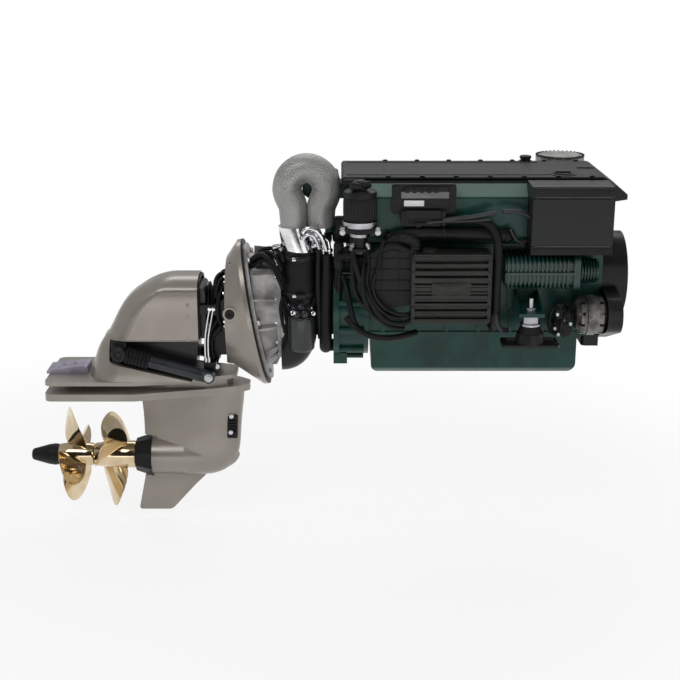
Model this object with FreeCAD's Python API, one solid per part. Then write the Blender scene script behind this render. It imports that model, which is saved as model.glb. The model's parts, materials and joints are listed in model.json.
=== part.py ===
import FreeCAD, Part
import math
import os

V = FreeCAD.Vector

# A marine stern drive engine: an inline diesel, a transom shield and a steerable, tilting drive leg
# with two counter-rotating propellers.
# Frame: +X to the bow, +Y to port, +Z up. The origin is where the crankshaft line meets the transom.

# Clearances
gap = 0.3
running = 0.05

# Transom and shield
transom_tilt = 10.0
rim_half_height = 267.0
rim_half_width = 190.0
rim_centre_drop = 33.0
rim_thickness = 14.0
shield_wall = 9.0
shield_aft_x = -92.0
shield_aft_half_width = 150.0
shield_aft_half_height = 190.0
shield_aft_centre_z = -20.0
bulkhead_thickness = 8.0
spigot_aft_x = -26.0
spigot_wall = 14.0
seal_thickness = 6.0
seal_width = 15.0
transom_hole_radius = 6.6
transom_hole_inset = 30.0
transom_hole_angle = 60.0
side_plug_radius = 17.0
side_plug_x = -72.0
side_plug_y = 174.0
side_plug_z = 5.0
side_boss_radius = 24.0
side_boss_proud = 4.0
bell_front_x = 104.0
bell_half_height = 200.0
bell_half_width = 150.0
bell_wall = 8.0
bell_flange = 14.0
bell_ribs = 10
shaft_tube_radius = 66.0
shaft_tube_bore = 54.0
bellows_inner_radius = 60.0
bellows_outer_radius = 78.0
bellows_wall = 4.0
bellows_joint_x = -85.0

# Steering and tilt
steer_x = -75.0
swivel_pin_radius = 14.0
fork_ring_inner = 84.0
fork_ring_outer = 104.0
fork_ring_fore = 7.0
fork_ring_aft = 22.0
fork_spine_half_width = 44.0
fork_heel_half_width = 46.0
fork_heel_aft_x = -156.0
fork_beam_half_width = 100.0
fork_arm_inner = 84.0
fork_arm_thickness = 12.0
fork_arm_half_height = 16.0
fork_root_half_height = 40.0
upper_swivel_z = 104.0
lower_swivel_z = -184.0
swivel_pin_length = 30.0
swivel_lug_radius = 26.0
tilt_x = -225.0
tilt_z = 0.0
tilt_pin_radius = 13.0
trim_front_x = -154.0
trim_front_z = -234.0
trim_rear_x = -466.0
trim_rear_z = -147.0
trim_y = 134.0
trim_pin_radius = 9.0
trim_eye_radius = 21.0
trim_eye_width = 30.0
barrel_radius = 23.0
barrel_bore = 17.0
barrel_length = 215.0
trim_rod_radius = 9.0
trim_rod_length = 256.0
gaiter_inner = 24.6
gaiter_outer = 29.0
gaiter_folds = 6

# Drive leg
leg_front_x = -165.0
leg_half_width = 76.0
leg_waist_half_width = 78.0
helmet_front_x = -190.0
helmet_aft_x = -527.0
helmet_half_width = 108.0
helmet_wall = 4.0
helmet_bottom_z = -110.0
helmet_seam_z = 62.0
helmet_top_z = 109.0
upper_plate_top = -251.0
upper_plate_thickness = 14.0
lower_plate_top = -296.0
lower_plate_thickness = 26.0
parting_z = -280.5
plate_aft_x = -735.0
plate_half_width = 147.0
anode_length = 147.0
anode_half_width = 48.0
anode_overhang = 10.0
neck_half_width = 62.0
skeg_bottom_z = -798.0
skeg_half_thickness = 9.0
propeller_z = -581.0
torpedo_radius = 72.0
torpedo_aft_x = -381.0
torpedo_nose_x = -62.0
collar_aft_x = -443.0
collar_radius = 80.0
grille_seat_y = 36.0
grille_depth = 10.0
grille_slots = 5
grille_outline = [(-100, -412), (-62, -412), (-66, -500), (-104, -500)]

# Propellers
front_propeller_aft_x = -599.0
rear_propeller_aft_x = -728.0
nose_cone_length = 100.0
nose_cone_radius = 40.0
front_propeller_radius = 197.0
rear_propeller_radius = 190.0
front_propeller_blades = 3
rear_propeller_blades = 4
front_propeller_first_blade = 60.0
rear_propeller_first_blade = 0.0
front_propeller_chord = 186.0
rear_propeller_chord = 148.0
blade_thickness = 13.0
front_hub_radius = 52.0
rear_hub_radius = 40.0
outer_shaft_radius = 26.0
inner_shaft_radius = 15.0
propeller_pitch = 520.0

# Engine
block_aft_x = 391.0
block_front_x = 1190.0
front_case_x = 1206.0
block_half_width = 150.0
block_bottom_z = -75.0
deck_z = 330.0
block_rib_top = 20.0
head_half_width = 120.0
cover_top_z = 482.0
cover_wall = 5.0
cover_skirt_z = 463.0
cover_half_width = 182.0
cover_aft_x = 312.0
cover_front_x = 1285.0
cover_nose_half_width = 120.0
cover_nose_length = 95.0
filler_x = 1061.0
filler_y = -110.0
filler_radius = 34.0
filler_height = 5.0
coolant_housing_aft_x = 178.0
coolant_housing_y = (-40.0, 60.0)
coolant_housing_z = (385.0, 472.0)
flywheel_housing_aft_x = 285.0
flywheel_flange_radius = 197.0
flywheel_housing_radius = 180.0
flywheel_radius = 158.0
crank_radius = 32.0
pan_aft_x = 416.0
pan_front_x = 1132.0
pan_bottom_z = -208.0
pan_half_width = 146.0
manifold_aft_x = 341.0
manifold_front_x = 930.0
manifold_face_y = -235.0
manifold_bottom_z = 268.0
manifold_bevel_z = 424.0
unit_x = (478.0, 690.0)
unit_z = (374.0, 474.0)
unit_face_y = -264.0
cooler_x = (543.0, 806.0)
cooler_z = (20.0, 255.0)
cooler_face_y = -335.0
cooler_depth = 95.0
cooler_slots = 8
duct_x = (407.0, 543.0)
duct_z = (114.0, 262.0)
duct_y = (-300.0, -236.0)
arch_radius = 22.0
supercharger_x = (862.0, 1090.0)
supercharger_z = (114.0, 229.0)
supercharger_face_y = -255.0
supercharger_ribs = 15
filter_box_x = (931.0, 1198.0)
filter_box_z = (251.0, 476.0)
filter_box_y = (-330.0, -190.0)
pulley_x = (1212.0, 1236.0)
belt_inset = 3.0
crank_pulley_radius = 92.0
alternator_y = -238.0
alternator_z = 24.0
alternator_x = (1103.0, 1206.0)
alternator_radius = 68.0
alternator_pulley_radius = 30.0
alternator_shaft_radius = 8.5
alternator_slots = 10
belt_thickness = 7.0
guard_front_x = 1296.0
guard_low_front_x = 1256.0
guard_tray_bottom_z = -120.0
guard_tray_length = 54.0
guard_wall = 4.0
guard_radius = 150.0
guard_centre_z = 110.0
mount_x = 943.0
mount_y = 310.0
mount_base_z = -58.0
mount_foot_length = 190.0
mount_foot_width = 96.0
mount_hole_spacing_x = 150.0
mount_hole_spacing_y = 62.0
mount_hole_radius = 6.5
mount_cup_radius = 44.0
mount_arm_z = 44.0
mount_arm_thickness = 12.0
mount_stud_radius = 8.0
riser_x = (131.0, 261.0)
riser_foot_x = (150.0, 242.0)
riser_y = -110.0
riser_top_z = 434.0
riser_bottom_z = 304.0
riser_radius = 50.0
exhaust_hose_x = 173.0
exhaust_hose_radius = 66.0
exhaust_hose_wall = 7.0
exhaust_hose_z = (58.0, 222.0)
outlet_x = 172.0
outlet_y = -134.0
outlet_radius = 56.0
coolant_hose_x = 262.0
coolant_hose_y = -158.0
coolant_hose_top = 216.0
coolant_hose_radius = 22.0
turbo_x = 360.0
turbo_y = 214.0
turbo_z = 200.0
fuel_filter_x = 374.0
fuel_filter_y = -270.0
fuel_filter_radius = 54.0
loom_x = 827.0
loom_y = -303.0
breather_x = 1113.0
breather_y = 274.0
breather_radius = 88.0


def box(x, y, z):
    return Part.makeBox(x[1] - x[0], y[1] - y[0], z[1] - z[0], V(x[0], y[0], z[0]))


def rod(start, direction, radius, length):
    return Part.makeCylinder(radius, length, V(*start), V(*direction))


def ring(start, direction, outer, inner, length):
    return rod(start, direction, outer, length).cut(rod(start, direction, inner, length))


def fuse(shapes):
    whole = shapes[0].fuse(list(shapes[1:])) if len(shapes) > 1 else shapes[0]
    return whole.removeSplitter()


def cut(shape, *tools):
    return shape.cut(list(tools))


def outline(points, radius, place):
    """A closed outline through the points, each corner rounded; place turns (u, v) into a point."""
    count = len(points)
    radii = radius if isinstance(radius, (list, tuple)) else [radius] * count
    edges = []
    ends = []
    for i, (u, v) in enumerate(points):
        before = V(*points[i - 1], 0) - V(u, v, 0)
        after = V(*points[(i + 1) % count], 0) - V(u, v, 0)
        half = before.getAngle(after) / 2
        setback = 0.0
        if radii[i] > 0 and half < math.pi / 2 - 0.01:
            setback = min(radii[i] / math.tan(half), 0.49 * before.Length, 0.49 * after.Length)
        corner = V(u, v, 0)
        start = corner + before.normalize() * setback
        end = corner + after.normalize() * setback
        if setback > 0:
            real = setback * math.tan(half)
            bisector = (before + after).normalize()
            middle = corner + bisector * (real / math.sin(half) - real)
            arc = Part.Arc(place(start), place(middle), place(end)).toShape()
        else:
            arc = None
        ends.append((start, arc, end))
    for i in range(count):
        start, arc, end = ends[i]
        if arc is not None:
            edges.append(arc)
        following = ends[(i + 1) % count][0]
        if (following - end).Length > 1e-6:
            edges.append(Part.LineSegment(place(end), place(following)).toShape())
    return Part.Wire(edges)


def plate(points, radius, plane, low, high):
    """A flat piece: an outline in the plane "xz", "yz" or "xy", thickened from low to high."""
    places = {
        "xz": (lambda p: V(p.x, low, p.y), V(0, high - low, 0)),
        "yz": (lambda p: V(low, p.x, p.y), V(high - low, 0, 0)),
        "xy": (lambda p: V(p.x, p.y, low), V(0, 0, high - low)),
    }
    place, rise = places[plane]
    return Part.Face(outline(points, radius, place)).extrude(rise)


def ellipse_wire(centre, across, up, half_across, half_up):
    """An ellipse about centre, with half axes along two directions."""
    if half_up > half_across:
        curve = Part.Ellipse(centre + up * half_up, centre + across * half_across, centre)
    else:
        curve = Part.Ellipse(centre + across * half_across, centre + up * half_up, centre)
    return Part.Wire(curve.toShape())


def hose(points, radius):
    """A round hose along straight runs joined by tangent arcs, as large as the runs allow."""
    way = [V(*p) for p in points]
    edges = []
    last = way[0]
    for i in range(1, len(way) - 1):
        back = way[i - 1] - way[i]
        on = way[i + 1] - way[i]
        half = back.getAngle(on) / 2
        if half > math.pi / 2 - 0.01:
            continue
        setback = 0.45 * min(back.Length, on.Length)
        start = way[i] + back.normalize() * setback
        end = way[i] + on.normalize() * setback
        bend = setback * math.tan(half)
        middle = way[i] + (back + on).normalize() * (bend / math.sin(half) - bend)
        edges.append(Part.LineSegment(last, start).toShape())
        edges.append(Part.Arc(start, middle, end).toShape())
        last = end
    edges.append(Part.LineSegment(last, way[-1]).toShape())
    path = Part.Wire(edges)
    heading = way[1] - way[0]
    circle = Part.Wire(Part.Circle(way[0], heading, radius).toShape())
    return path.makePipeShell([circle], True, True)


def bellows(start_x, end_x, inner, outer, folds, wall):
    """A rubber bellows about the X axis: folds of equal pitch, open through."""
    pitch = (end_x - start_x) / folds
    crests = []
    for i in range(folds):
        crests += [(start_x + i * pitch, inner), (start_x + (i + 0.5) * pitch, outer)]
    crests.append((end_x, inner))
    outside = [V(x, 0, r) for x, r in crests]
    inside = [V(x, 0, r - wall) for x, r in reversed(crests)]
    face = Part.Face(Part.makePolygon(outside + inside + outside[:1]))
    return face.revolve(V(0, 0, 0), V(1, 0, 0), 360)


def bolt_head(point, direction, radius, height):
    """A hexagon bolt head standing on a face."""
    centre = V(*point)
    axis = V(*direction).normalize()
    side = axis.cross(V(0.31, 0.52, 0.79)).normalize()
    corners = []
    for k in range(6):
        corners.append(centre + FreeCAD.Rotation(axis, 60 * k).multVec(side * radius))
    return Part.Face(Part.makePolygon(corners + corners[:1])).extrude(axis * height)


def loft(wires, ruled=False):
    return Part.makeLoft(wires, True, ruled)


def turned(shape, centre, axis, degrees):
    copy = shape.copy()
    copy.rotate(V(*centre), V(*axis), degrees)
    return copy


def revolved(profile, start_x=0.0):
    """A solid turned about the X axis from (x, radius) points."""
    points = [V(start_x + x, 0, r) for x, r in profile]
    return Part.Face(Part.makePolygon(points + points[:1])).revolve(V(0, 0, 0), V(1, 0, 0), 360)


# Transom: local x runs inboard, square to the transom, and local z up along it
up_transom = V(-math.sin(math.radians(transom_tilt)), 0, math.cos(math.radians(transom_tilt)))
inboard = V(math.cos(math.radians(transom_tilt)), 0, math.sin(math.radians(transom_tilt)))
across = V(0, 1, 0)
rim_centre = up_transom * -rim_centre_drop


def rim_wire(inset, offset):
    """The rim's oval, inset by a distance, at an offset along the transom's normal."""
    centre = rim_centre + inboard * offset
    return ellipse_wire(centre, across, up_transom, rim_half_width - inset, rim_half_height - inset)


def rim_slab(inset, low, high):
    return Part.Face(rim_wire(inset, low)).extrude(inboard * (high - low))


def aft_oval(inset):
    centre = V(shield_aft_x, 0, shield_aft_centre_z)
    return ellipse_wire(centre, across, V(0, 0, 1), shield_aft_half_width - inset,
                        shield_aft_half_height - inset)


def transom_holes(low, high, radius):
    """Six bolt holes through the rim, three each side."""
    holes = []
    for side in (-1, 1):
        for k in (-1, 0, 1):
            angle = math.radians(k * transom_hole_angle)
            flat = (rim_half_width - transom_hole_inset) * math.cos(angle)
            rise = (rim_half_height - transom_hole_inset) * math.sin(angle)
            centre = rim_centre + across * (side * flat) + up_transom * rise + inboard * low
            holes.append(Part.makeCylinder(radius, high - low, centre, inboard))
    return holes


def transom_shield():
    """The casting bolted to the outside of the transom: a flared skirt, side bosses and two swivel lugs."""
    bosses = []
    for side in (-1, 1):
        bosses.append(rod((side_plug_x, side * (side_plug_y - side_boss_proud), side_plug_z), (0, -side, 0),
                          side_boss_radius, 30))
    hollow = loft([aft_oval(shield_wall), rim_wire(shield_wall, -rim_thickness)])
    skirt = cut(loft([aft_oval(0), rim_wire(0, -rim_thickness)]).fuse(bosses), hollow)
    rim = cut(rim_slab(0, -rim_thickness, 0), rim_slab(seal_width + 34, -rim_thickness, 0))
    bulkhead = rim_slab(shield_wall, -bulkhead_thickness, 0)
    cavity = hollow.fuse(rim_slab(shield_wall, -rim_thickness, -1))
    spigot = rod((spigot_aft_x, 0, 0), (1, 0, 0), bellows_inner_radius + spigot_wall, 10 - spigot_aft_x)
    top_lug = box((steer_x - 24, -15), (-30, 30), (upper_swivel_z + gap, 190))
    low_z = lower_swivel_z - gap
    boss = rod((steer_x, 0, low_z - swivel_pin_length - 6), (0, 0, 1), swivel_lug_radius,
               swivel_pin_length + 6)
    shelf = box((steer_x, 10), (-swivel_lug_radius, swivel_lug_radius), (-250, low_z))
    solid = skirt.fuse([rim, bulkhead])
    for piece in (spigot.common(cavity), top_lug.common(cavity), shelf.common(cavity), boss):
        solid = solid.fuse(piece)
    bores = [rod((-80, 0, 0), (1, 0, 0), bellows_inner_radius, 130)]
    for z in (upper_swivel_z, lower_swivel_z - swivel_pin_length - gap):
        bores.append(rod((steer_x, 0, z), (0, 0, 1), swivel_pin_radius + running, swivel_pin_length + gap))
    for side in (-1, 1):
        bores.append(rod((side_plug_x, side * 200, side_plug_z), (0, -side, 0), side_plug_radius, 70))
    holes = transom_holes(-rim_thickness - 40, 1, transom_hole_radius)
    return cut(solid.removeSplitter(), *bores, *holes)


def transom_seal():
    """The black rubber seal that lies between the rim and the transom."""
    seal = cut(rim_slab(0, 0, seal_thickness), rim_slab(seal_width + 34, 0, seal_thickness))
    return cut(seal, *transom_holes(0, seal_thickness, transom_hole_radius))


def shield_plugs():
    plugs = []
    for side in (-1, 1):
        plug = rod((side_plug_x, side * side_plug_y, side_plug_z), (0, -side, 0), side_plug_radius, 24)
        socket = rod((side_plug_x, side * side_plug_y, side_plug_z), (0, -side, 0), 6, 8)
        plugs.append(plug.cut(socket))
    return Part.makeCompound(plugs)


def bell_oval(inset, x):
    return ellipse_wire(V(x, 0, 0), across, V(0, 0, 1), bell_half_width - inset, bell_half_height - inset)


def bell_housing():
    """The ribbed aluminium bell between the transom and the engine, with the drive shaft's tube."""
    base = seal_width + 36
    low = seal_thickness
    flange_x = bell_front_x - bell_flange
    shell = loft([rim_wire(base, low), bell_oval(12, flange_x + 2)])
    hollow = loft([rim_wire(base + bell_wall, low - 6), bell_oval(12 + bell_wall, flange_x + 1)])
    foot = rim_slab(seal_width + 2, low, low + 12)
    flange = Part.Face(bell_oval(0, flange_x)).extrude(V(bell_flange, 0, 0))
    ribs = []
    for k in range(bell_ribs):
        rib = box((low, flange_x + 2), (-4, 4), (0, bell_half_height + 30))
        ribs.append(turned(rib, (0, 0, 0), (1, 0, 0), 360 / bell_ribs * k))
    envelope = loft([rim_wire(seal_width + 6, low + 6), bell_oval(0, flange_x + 4)])
    webs = fuse(ribs).common(envelope)
    solid = shell.fuse([foot, flange, webs]).cut(hollow)
    tube = rod((bell_front_x - 6, 0, 0), (1, 0, 0), shaft_tube_radius, flywheel_housing_aft_x - bell_front_x + 6)
    bore = rod((0, 0, 0), (1, 0, 0), shaft_tube_bore, flywheel_housing_aft_x + 10)
    return solid.fuse(tube).cut([bore] + transom_holes(0, 40, transom_hole_radius))


def steering_fork():
    """The black fork: a ring round the bellows, two arms to the tilt pins and two trim cylinder lugs."""
    half = fork_ring_aft
    spine = fork_spine_half_width
    body = [rod((steer_x - half, 0, 0), (1, 0, 0), fork_ring_outer, fork_ring_aft + fork_ring_fore)]
    body.append(rod((steer_x, 0, 60), (0, 0, 1), 24, upper_swivel_z - 60))
    body.append(box((steer_x - half, steer_x + half), (-spine, spine), (lower_swivel_z, -60)))
    heel = [(steer_x - half + 4, -92), (steer_x - half + 4, lower_swivel_z + 4),
            (steer_x - 46, lower_swivel_z + 4), (steer_x - 54, -216), (trim_front_x - 20, -222),
            (trim_front_x - 20, -190), (fork_heel_aft_x, -150), (fork_heel_aft_x, -92)]
    body.append(plate(heel, [0, 0, 4, 10, 4, 6, 20, 16], "xz", -fork_heel_half_width, fork_heel_half_width))
    body.append(box((trim_front_x - 20, trim_front_x + 22), (-fork_beam_half_width, fork_beam_half_width),
                    (-222, -196)))
    arm_y = fork_arm_inner + fork_arm_thickness
    for side in (-1, 1):
        low, high = sorted((side * fork_arm_inner, side * arm_y))
        root, tip = fork_root_half_height, fork_arm_half_height
        neck_x = steer_x - half - 38
        arm = [(steer_x + fork_ring_fore, -root), (steer_x + fork_ring_fore, root), (steer_x - half, root),
               (neck_x, tip), (tilt_x + 20, tip), (tilt_x + 20, -tip), (neck_x, -tip), (steer_x - half, -root)]
        body.append(plate(arm, 0, "xz", low, high))
        body.append(rod((tilt_x, low, tilt_z), (0, 1, 0), 28, fork_arm_thickness))
        lug = [(trim_front_x + 24, -190), (trim_front_x - 20, -190), (trim_front_x - 20, trim_front_z),
               (trim_front_x, trim_front_z - 14), (trim_front_x + 20, trim_front_z)]
        cheek = side * (trim_y - barrel_radius - 3)
        low, high = sorted((side * fork_arm_inner, cheek))
        body.append(plate(lug, [6, 6, 10, 14, 10], "xz", low, high))
        low, high = sorted((cheek, side * (trim_y - trim_eye_width / 2 - gap)))
        body.append(rod((trim_front_x, low, trim_front_z), (0, 1, 0), 16, high - low))
        outer = side * (trim_y + trim_eye_width / 2)
        low, high = sorted((side * fork_arm_inner, outer))
        body.append(rod((trim_front_x, low, trim_front_z), (0, 1, 0), trim_pin_radius, high - low))
    body.append(rod((steer_x, 0, 90), (0, 0, 1), swivel_pin_radius, upper_swivel_z - 90 + swivel_pin_length))
    body.append(rod((steer_x, 0, lower_swivel_z - swivel_pin_length), (0, 0, 1), swivel_pin_radius,
                    swivel_pin_length + 20))
    holes = [rod((tilt_x, -120, tilt_z), (0, 1, 0), tilt_pin_radius + running, 240)]
    holes.append(rod((steer_x - 80, 0, 0), (1, 0, 0), fork_ring_inner, 160))
    holes.append(box((tilt_x - 40, steer_x - half), (-fork_arm_inner, fork_arm_inner), (-60, 60)))
    holes.append(rod((steer_x - half - 80, 0, 0), (1, 0, 0), bellows_outer_radius + 4, 80))
    pins = rod((steer_x, 0, lower_swivel_z - 80), (0, 0, 1), swivel_pin_radius, 300)
    holes.append(rod((steer_x, 0, lower_swivel_z - 80), (0, 0, 1), swivel_lug_radius + 1, 80).cut(pins))
    return cut(fuse(body), *holes)


def hydraulic_pipes():
    """Two bright pipes that run down the fork to each trim cylinder, starboard and port."""
    pipes = []
    face = fork_arm_inner + fork_arm_thickness
    for side in (-1, 1):
        for k in (0, 1):
            x = steer_x - 60 - 13 * k
            foot = trim_front_x - 2 - 11 * k
            way = [(x, side * face, 4), (x, side * (face + 8), 4), (x - 9, side * (face + 8), -40),
                   (foot, side * (face + 8), -100), (foot - 1, side * (face + 8), -150),
                   (foot, side * (face + 8), -190)]
            pipes.append(hose(way, 3))
    return Part.makeCompound(pipes)


def bellows_front():
    return bellows(spigot_aft_x, bellows_joint_x, bellows_inner_radius, bellows_outer_radius, 3, bellows_wall)


def bellows_rear():
    return bellows(bellows_joint_x, leg_front_x, bellows_inner_radius, bellows_outer_radius, 5, bellows_wall)


def d_section(z, front, aft, half_width, corner):
    """A level section: straight front and sides, and a rounded after end."""
    points = [(front, -half_width), (front, half_width), (aft, half_width), (aft, -half_width)]
    return outline(points, [0, 0, corner, corner], lambda p: V(p.x, p.y, z))


def helmet_sections(inset, low, high):
    """Sections of the domed cover over the leg's upper gears, from its brim up to its crown."""
    brim = [(helmet_bottom_z, helmet_aft_x, helmet_half_width, 92), (-50, -494, helmet_half_width, 92),
            (10, -459, helmet_half_width, 90), (helmet_seam_z, -402, 104, 84), (86, -362, 92, 70),
            (101, -326, 68, 50), (helmet_top_z, -292, 36, 26)]
    wires = []
    for z, aft, half_width, corner in brim:
        if low - 0.1 <= z <= high + 0.1:
            wires.append(d_section(z, helmet_front_x, aft + inset * 1.4, half_width - inset, corner - inset))
    return wires


def helmet_cover():
    outside = loft(helmet_sections(0, helmet_bottom_z, helmet_seam_z))
    inside = loft(helmet_sections(helmet_wall, helmet_bottom_z, helmet_seam_z))
    return outside.cut(inside)


def helmet_cap():
    """The cap that closes the top of the cover."""
    outside = loft(helmet_sections(0, helmet_seam_z, helmet_top_z))
    inside = loft(helmet_sections(helmet_wall, helmet_seam_z, helmet_top_z))
    inside.translate(V(0, 0, -helmet_wall))
    return outside.cut(inside)


def leg_housing():
    """The upper leg: gear housing under the cover, waist beside the trim cylinders, and upper plate."""
    gear_house = [(leg_front_x, -74), (leg_front_x, 70), (-200, 78), (-300, 78), (-380, 30), (-440, -34),
                  (-480, helmet_bottom_z), (leg_front_x, helmet_bottom_z)]
    head = plate(gear_house, [20, 24, 30, 40, 40, 20, 0, 0], "xz", -leg_half_width, leg_half_width)
    waist = loft([
        d_section(helmet_bottom_z, helmet_front_x, helmet_aft_x, helmet_half_width, 92),
        d_section(-160, helmet_front_x - 8, -558, 124, 100),
        d_section(-210, helmet_front_x - 14, -574, 138, 106),
        d_section(upper_plate_top, helmet_front_x - 24, -588, plate_half_width - 3, 110)])
    pocket = [(-505, helmet_bottom_z + 1), (0, helmet_bottom_z + 1), (0, upper_plate_top + 0.5),
              (-214, upper_plate_top + 0.5), (-505, -186)]
    cuts = []
    for side in (-1, 1):
        low, high = sorted((side * leg_waist_half_width, side * 200))
        cuts.append(plate(pocket, [14, 0, 0, 30, 16], "xz", low, high))
    upper = [(-62, -36), (-62, 36), (-78, 60), (-176, 92), (-214, 112), (-420, plate_half_width),
             (plate_aft_x, plate_half_width), (plate_aft_x, -plate_half_width), (-420, -plate_half_width),
             (-214, -112), (-176, -92), (-78, -60)]
    deck = plate(upper, [20, 20, 40, 40, 60, 80, 24, 24, 80, 60, 40, 40], "xy",
                 upper_plate_top - upper_plate_thickness, upper_plate_top)
    neck = plate(foil_points(-80, -690, neck_half_width + 20, 1), 0, "xy", parting_z,
                 upper_plate_top - upper_plate_thickness)
    pins = []
    for side in (-1, 1):
        low, high = sorted((0, side * (fork_arm_inner + fork_arm_thickness)))
        pins.append(rod((tilt_x, low, tilt_z), (0, 1, 0), tilt_pin_radius, high - low))
        low, high = sorted((0, side * (fork_arm_inner - gap)))
        pins.append(rod((tilt_x, low, tilt_z), (0, 1, 0), 26, high - low))
        low, high = sorted((0, side * (trim_y - trim_eye_width / 2 - gap)))
        pins.append(rod((trim_rear_x, low, trim_rear_z), (0, 1, 0), trim_eye_radius - 2, high - low))
        low, high = sorted((0, side * (trim_y + trim_eye_width / 2)))
        pins.append(rod((trim_rear_x, low, trim_rear_z), (0, 1, 0), trim_pin_radius, high - low))
    body = fuse([head, waist.cut(cuts), deck, neck] + pins)
    mouth = rod((leg_front_x - 60, 0, 0), (1, 0, 0), bellows_inner_radius - bellows_wall, 80)
    return cut(body, mouth)


def foil_points(nose, tail, half_width, tip):
    """A symmetric foil outline, blunt at the tail, as points of (x, y)."""
    chord = nose - tail
    shares = [(1.0, 0.0), (0.97, 0.5), (0.85, 0.86), (0.62, 1.0), (0.35, 0.78), (0.12, 0.32)]
    side = [(tail + chord * s, half_width * w) for s, w in shares]
    return side + [(tail, tip)] + [(tail, -tip)] + [(x, -y) for x, y in reversed(side[1:])]


def foil_wire(z, nose, tail, half_width, tip):
    """A smooth symmetric foil section at height z."""
    points = [V(x, y, z) for x, y in foil_points(nose, tail, half_width, tip)]
    upper = Part.BSplineCurve()
    upper.interpolate(points[:7])
    lower = Part.BSplineCurve()
    lower.interpolate([points[0]] + list(reversed(points[8:])) + [points[7]])
    tail_edge = Part.LineSegment(points[6], points[7]).toShape()
    low_edge = lower.toShape()
    return Part.Wire(Part.sortEdges([upper.toShape(), tail_edge, low_edge])[0])


def gearcase():
    """The lower leg: plate, blade-like strut, bulb for the propeller shafts, and skeg."""
    lower = [(-18, -20), (-18, 20), (-60, 56), (-176, 90), (-420, plate_half_width),
             (plate_aft_x - 2, plate_half_width), (plate_aft_x - 2, -plate_half_width),
             (-420, -plate_half_width), (-176, -90), (-60, -56)]
    deck = plate(lower, [14, 14, 40, 60, 80, 24, 24, 80, 60, 40], "xy",
                 lower_plate_top - lower_plate_thickness, lower_plate_top)
    neck = plate(foil_points(-80, -690, neck_half_width + 20, 1), 0, "xy", lower_plate_top, parting_z)
    low = lower_plate_top - lower_plate_thickness
    strut = loft([foil_wire(low, -40, -423, neck_half_width, 5),
                  foil_wire(-400, -47, -411, 56, 5),
                  foil_wire(-500, -56, -409, 56, 5),
                  foil_wire(-570, -66, -409, 64, 5),
                  foil_wire(-650, -150, -413, 30, 5)])
    bulb = [(torpedo_nose_x, 0), (torpedo_nose_x - 10, 22), (torpedo_nose_x - 50, 50),
            (torpedo_nose_x - 130, torpedo_radius - 6), (torpedo_nose_x - 200, torpedo_radius),
            (torpedo_aft_x, torpedo_radius), (torpedo_aft_x, 0)]
    side = Part.BSplineCurve()
    side.interpolate([V(x, 0, r) for x, r in bulb[:5]])
    edges = [side.toShape()]
    for a, b in zip(bulb[4:], bulb[5:] + bulb[:1]):
        edges.append(Part.LineSegment(V(a[0], 0, a[1]), V(b[0], 0, b[1])).toShape())
    torpedo = Part.Face(Part.Wire(edges)).revolve(V(0, 0, 0), V(1, 0, 0), 360)
    torpedo.translate(V(0, 0, propeller_z))
    skeg = [(-412, -600), (-414, -665), (-442, skeg_bottom_z), (-318, skeg_bottom_z), (-230, -700),
            (-150, -620), (-200, -600)]
    fin = plate(skeg, [0, 40, 10, 30, 80, 10, 0], "xz", -skeg_half_thickness, skeg_half_thickness)
    solid = fuse([deck, neck, strut, torpedo, fin])
    bore = rod((torpedo_aft_x - 1, 0, propeller_z), (1, 0, 0), outer_shaft_radius + gap, 150)
    grilles = []
    for side in (-1, 1):
        low_y, high_y = sorted((side * grille_seat_y, side * 90))
        grilles.append(plate(grille_outline, 6, "xz", low_y, high_y))
    seat = rod((torpedo_aft_x - 70, 0, propeller_z), (1, 0, 0), collar_radius + gap, 70)
    return cut(solid, bore, seat, *grilles)


def water_grilles():
    """The two black inlet grilles for raw water, one each side."""
    grilles = []
    for side in (-1, 1):
        low_y, high_y = sorted((side * grille_seat_y, side * (grille_seat_y + grille_depth)))
        grilles.append(plate(grille_outline, 6, "xz", low_y, high_y))
    slots = [box((-96, -70), (-60, 60), (-434 - 11 * k, -429 - 11 * k)) for k in range(grille_slots)]
    keep = box((-110, -50), (-grille_seat_y - 4, grille_seat_y + 4), (-600, -300))
    return Part.makeCompound([g.cut([s.cut(keep) for s in slots]) for g in grilles])


def shaft_collar():
    """The black eight-sided collar that closes the bulb behind the gears."""
    flare = []
    for x, radius in ((torpedo_aft_x, collar_radius), (collar_aft_x, front_hub_radius + 8)):
        corners = [V(x, radius * math.cos(math.radians(22.5 + 45 * k)),
                     propeller_z + radius * math.sin(math.radians(22.5 + 45 * k))) for k in range(8)]
        flare.append(Part.makePolygon(corners + corners[:1]))
    solid = loft(flare, True)
    return solid.cut(rod((collar_aft_x - 1, 0, propeller_z), (1, 0, 0), outer_shaft_radius + gap, 70))


def anode_plate():
    """The zinc block on the upper plate, sloped down aft, with two bolt holes."""
    aft = plate_aft_x - anode_overhang
    fore = aft + anode_length
    top = upper_plate_top
    side = [(aft, top), (fore, top), (fore, top + 25), (fore - 14, top + 29), (aft, top + 11)]
    block = plate(side, [0, 0, 4, 6, 4], "xz", -anode_half_width, anode_half_width)
    holes = [rod((aft + x, 0, top - 1), (0, 0, 1), 5, 60) for x in (55, 95)]
    return cut(block, *holes)


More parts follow.
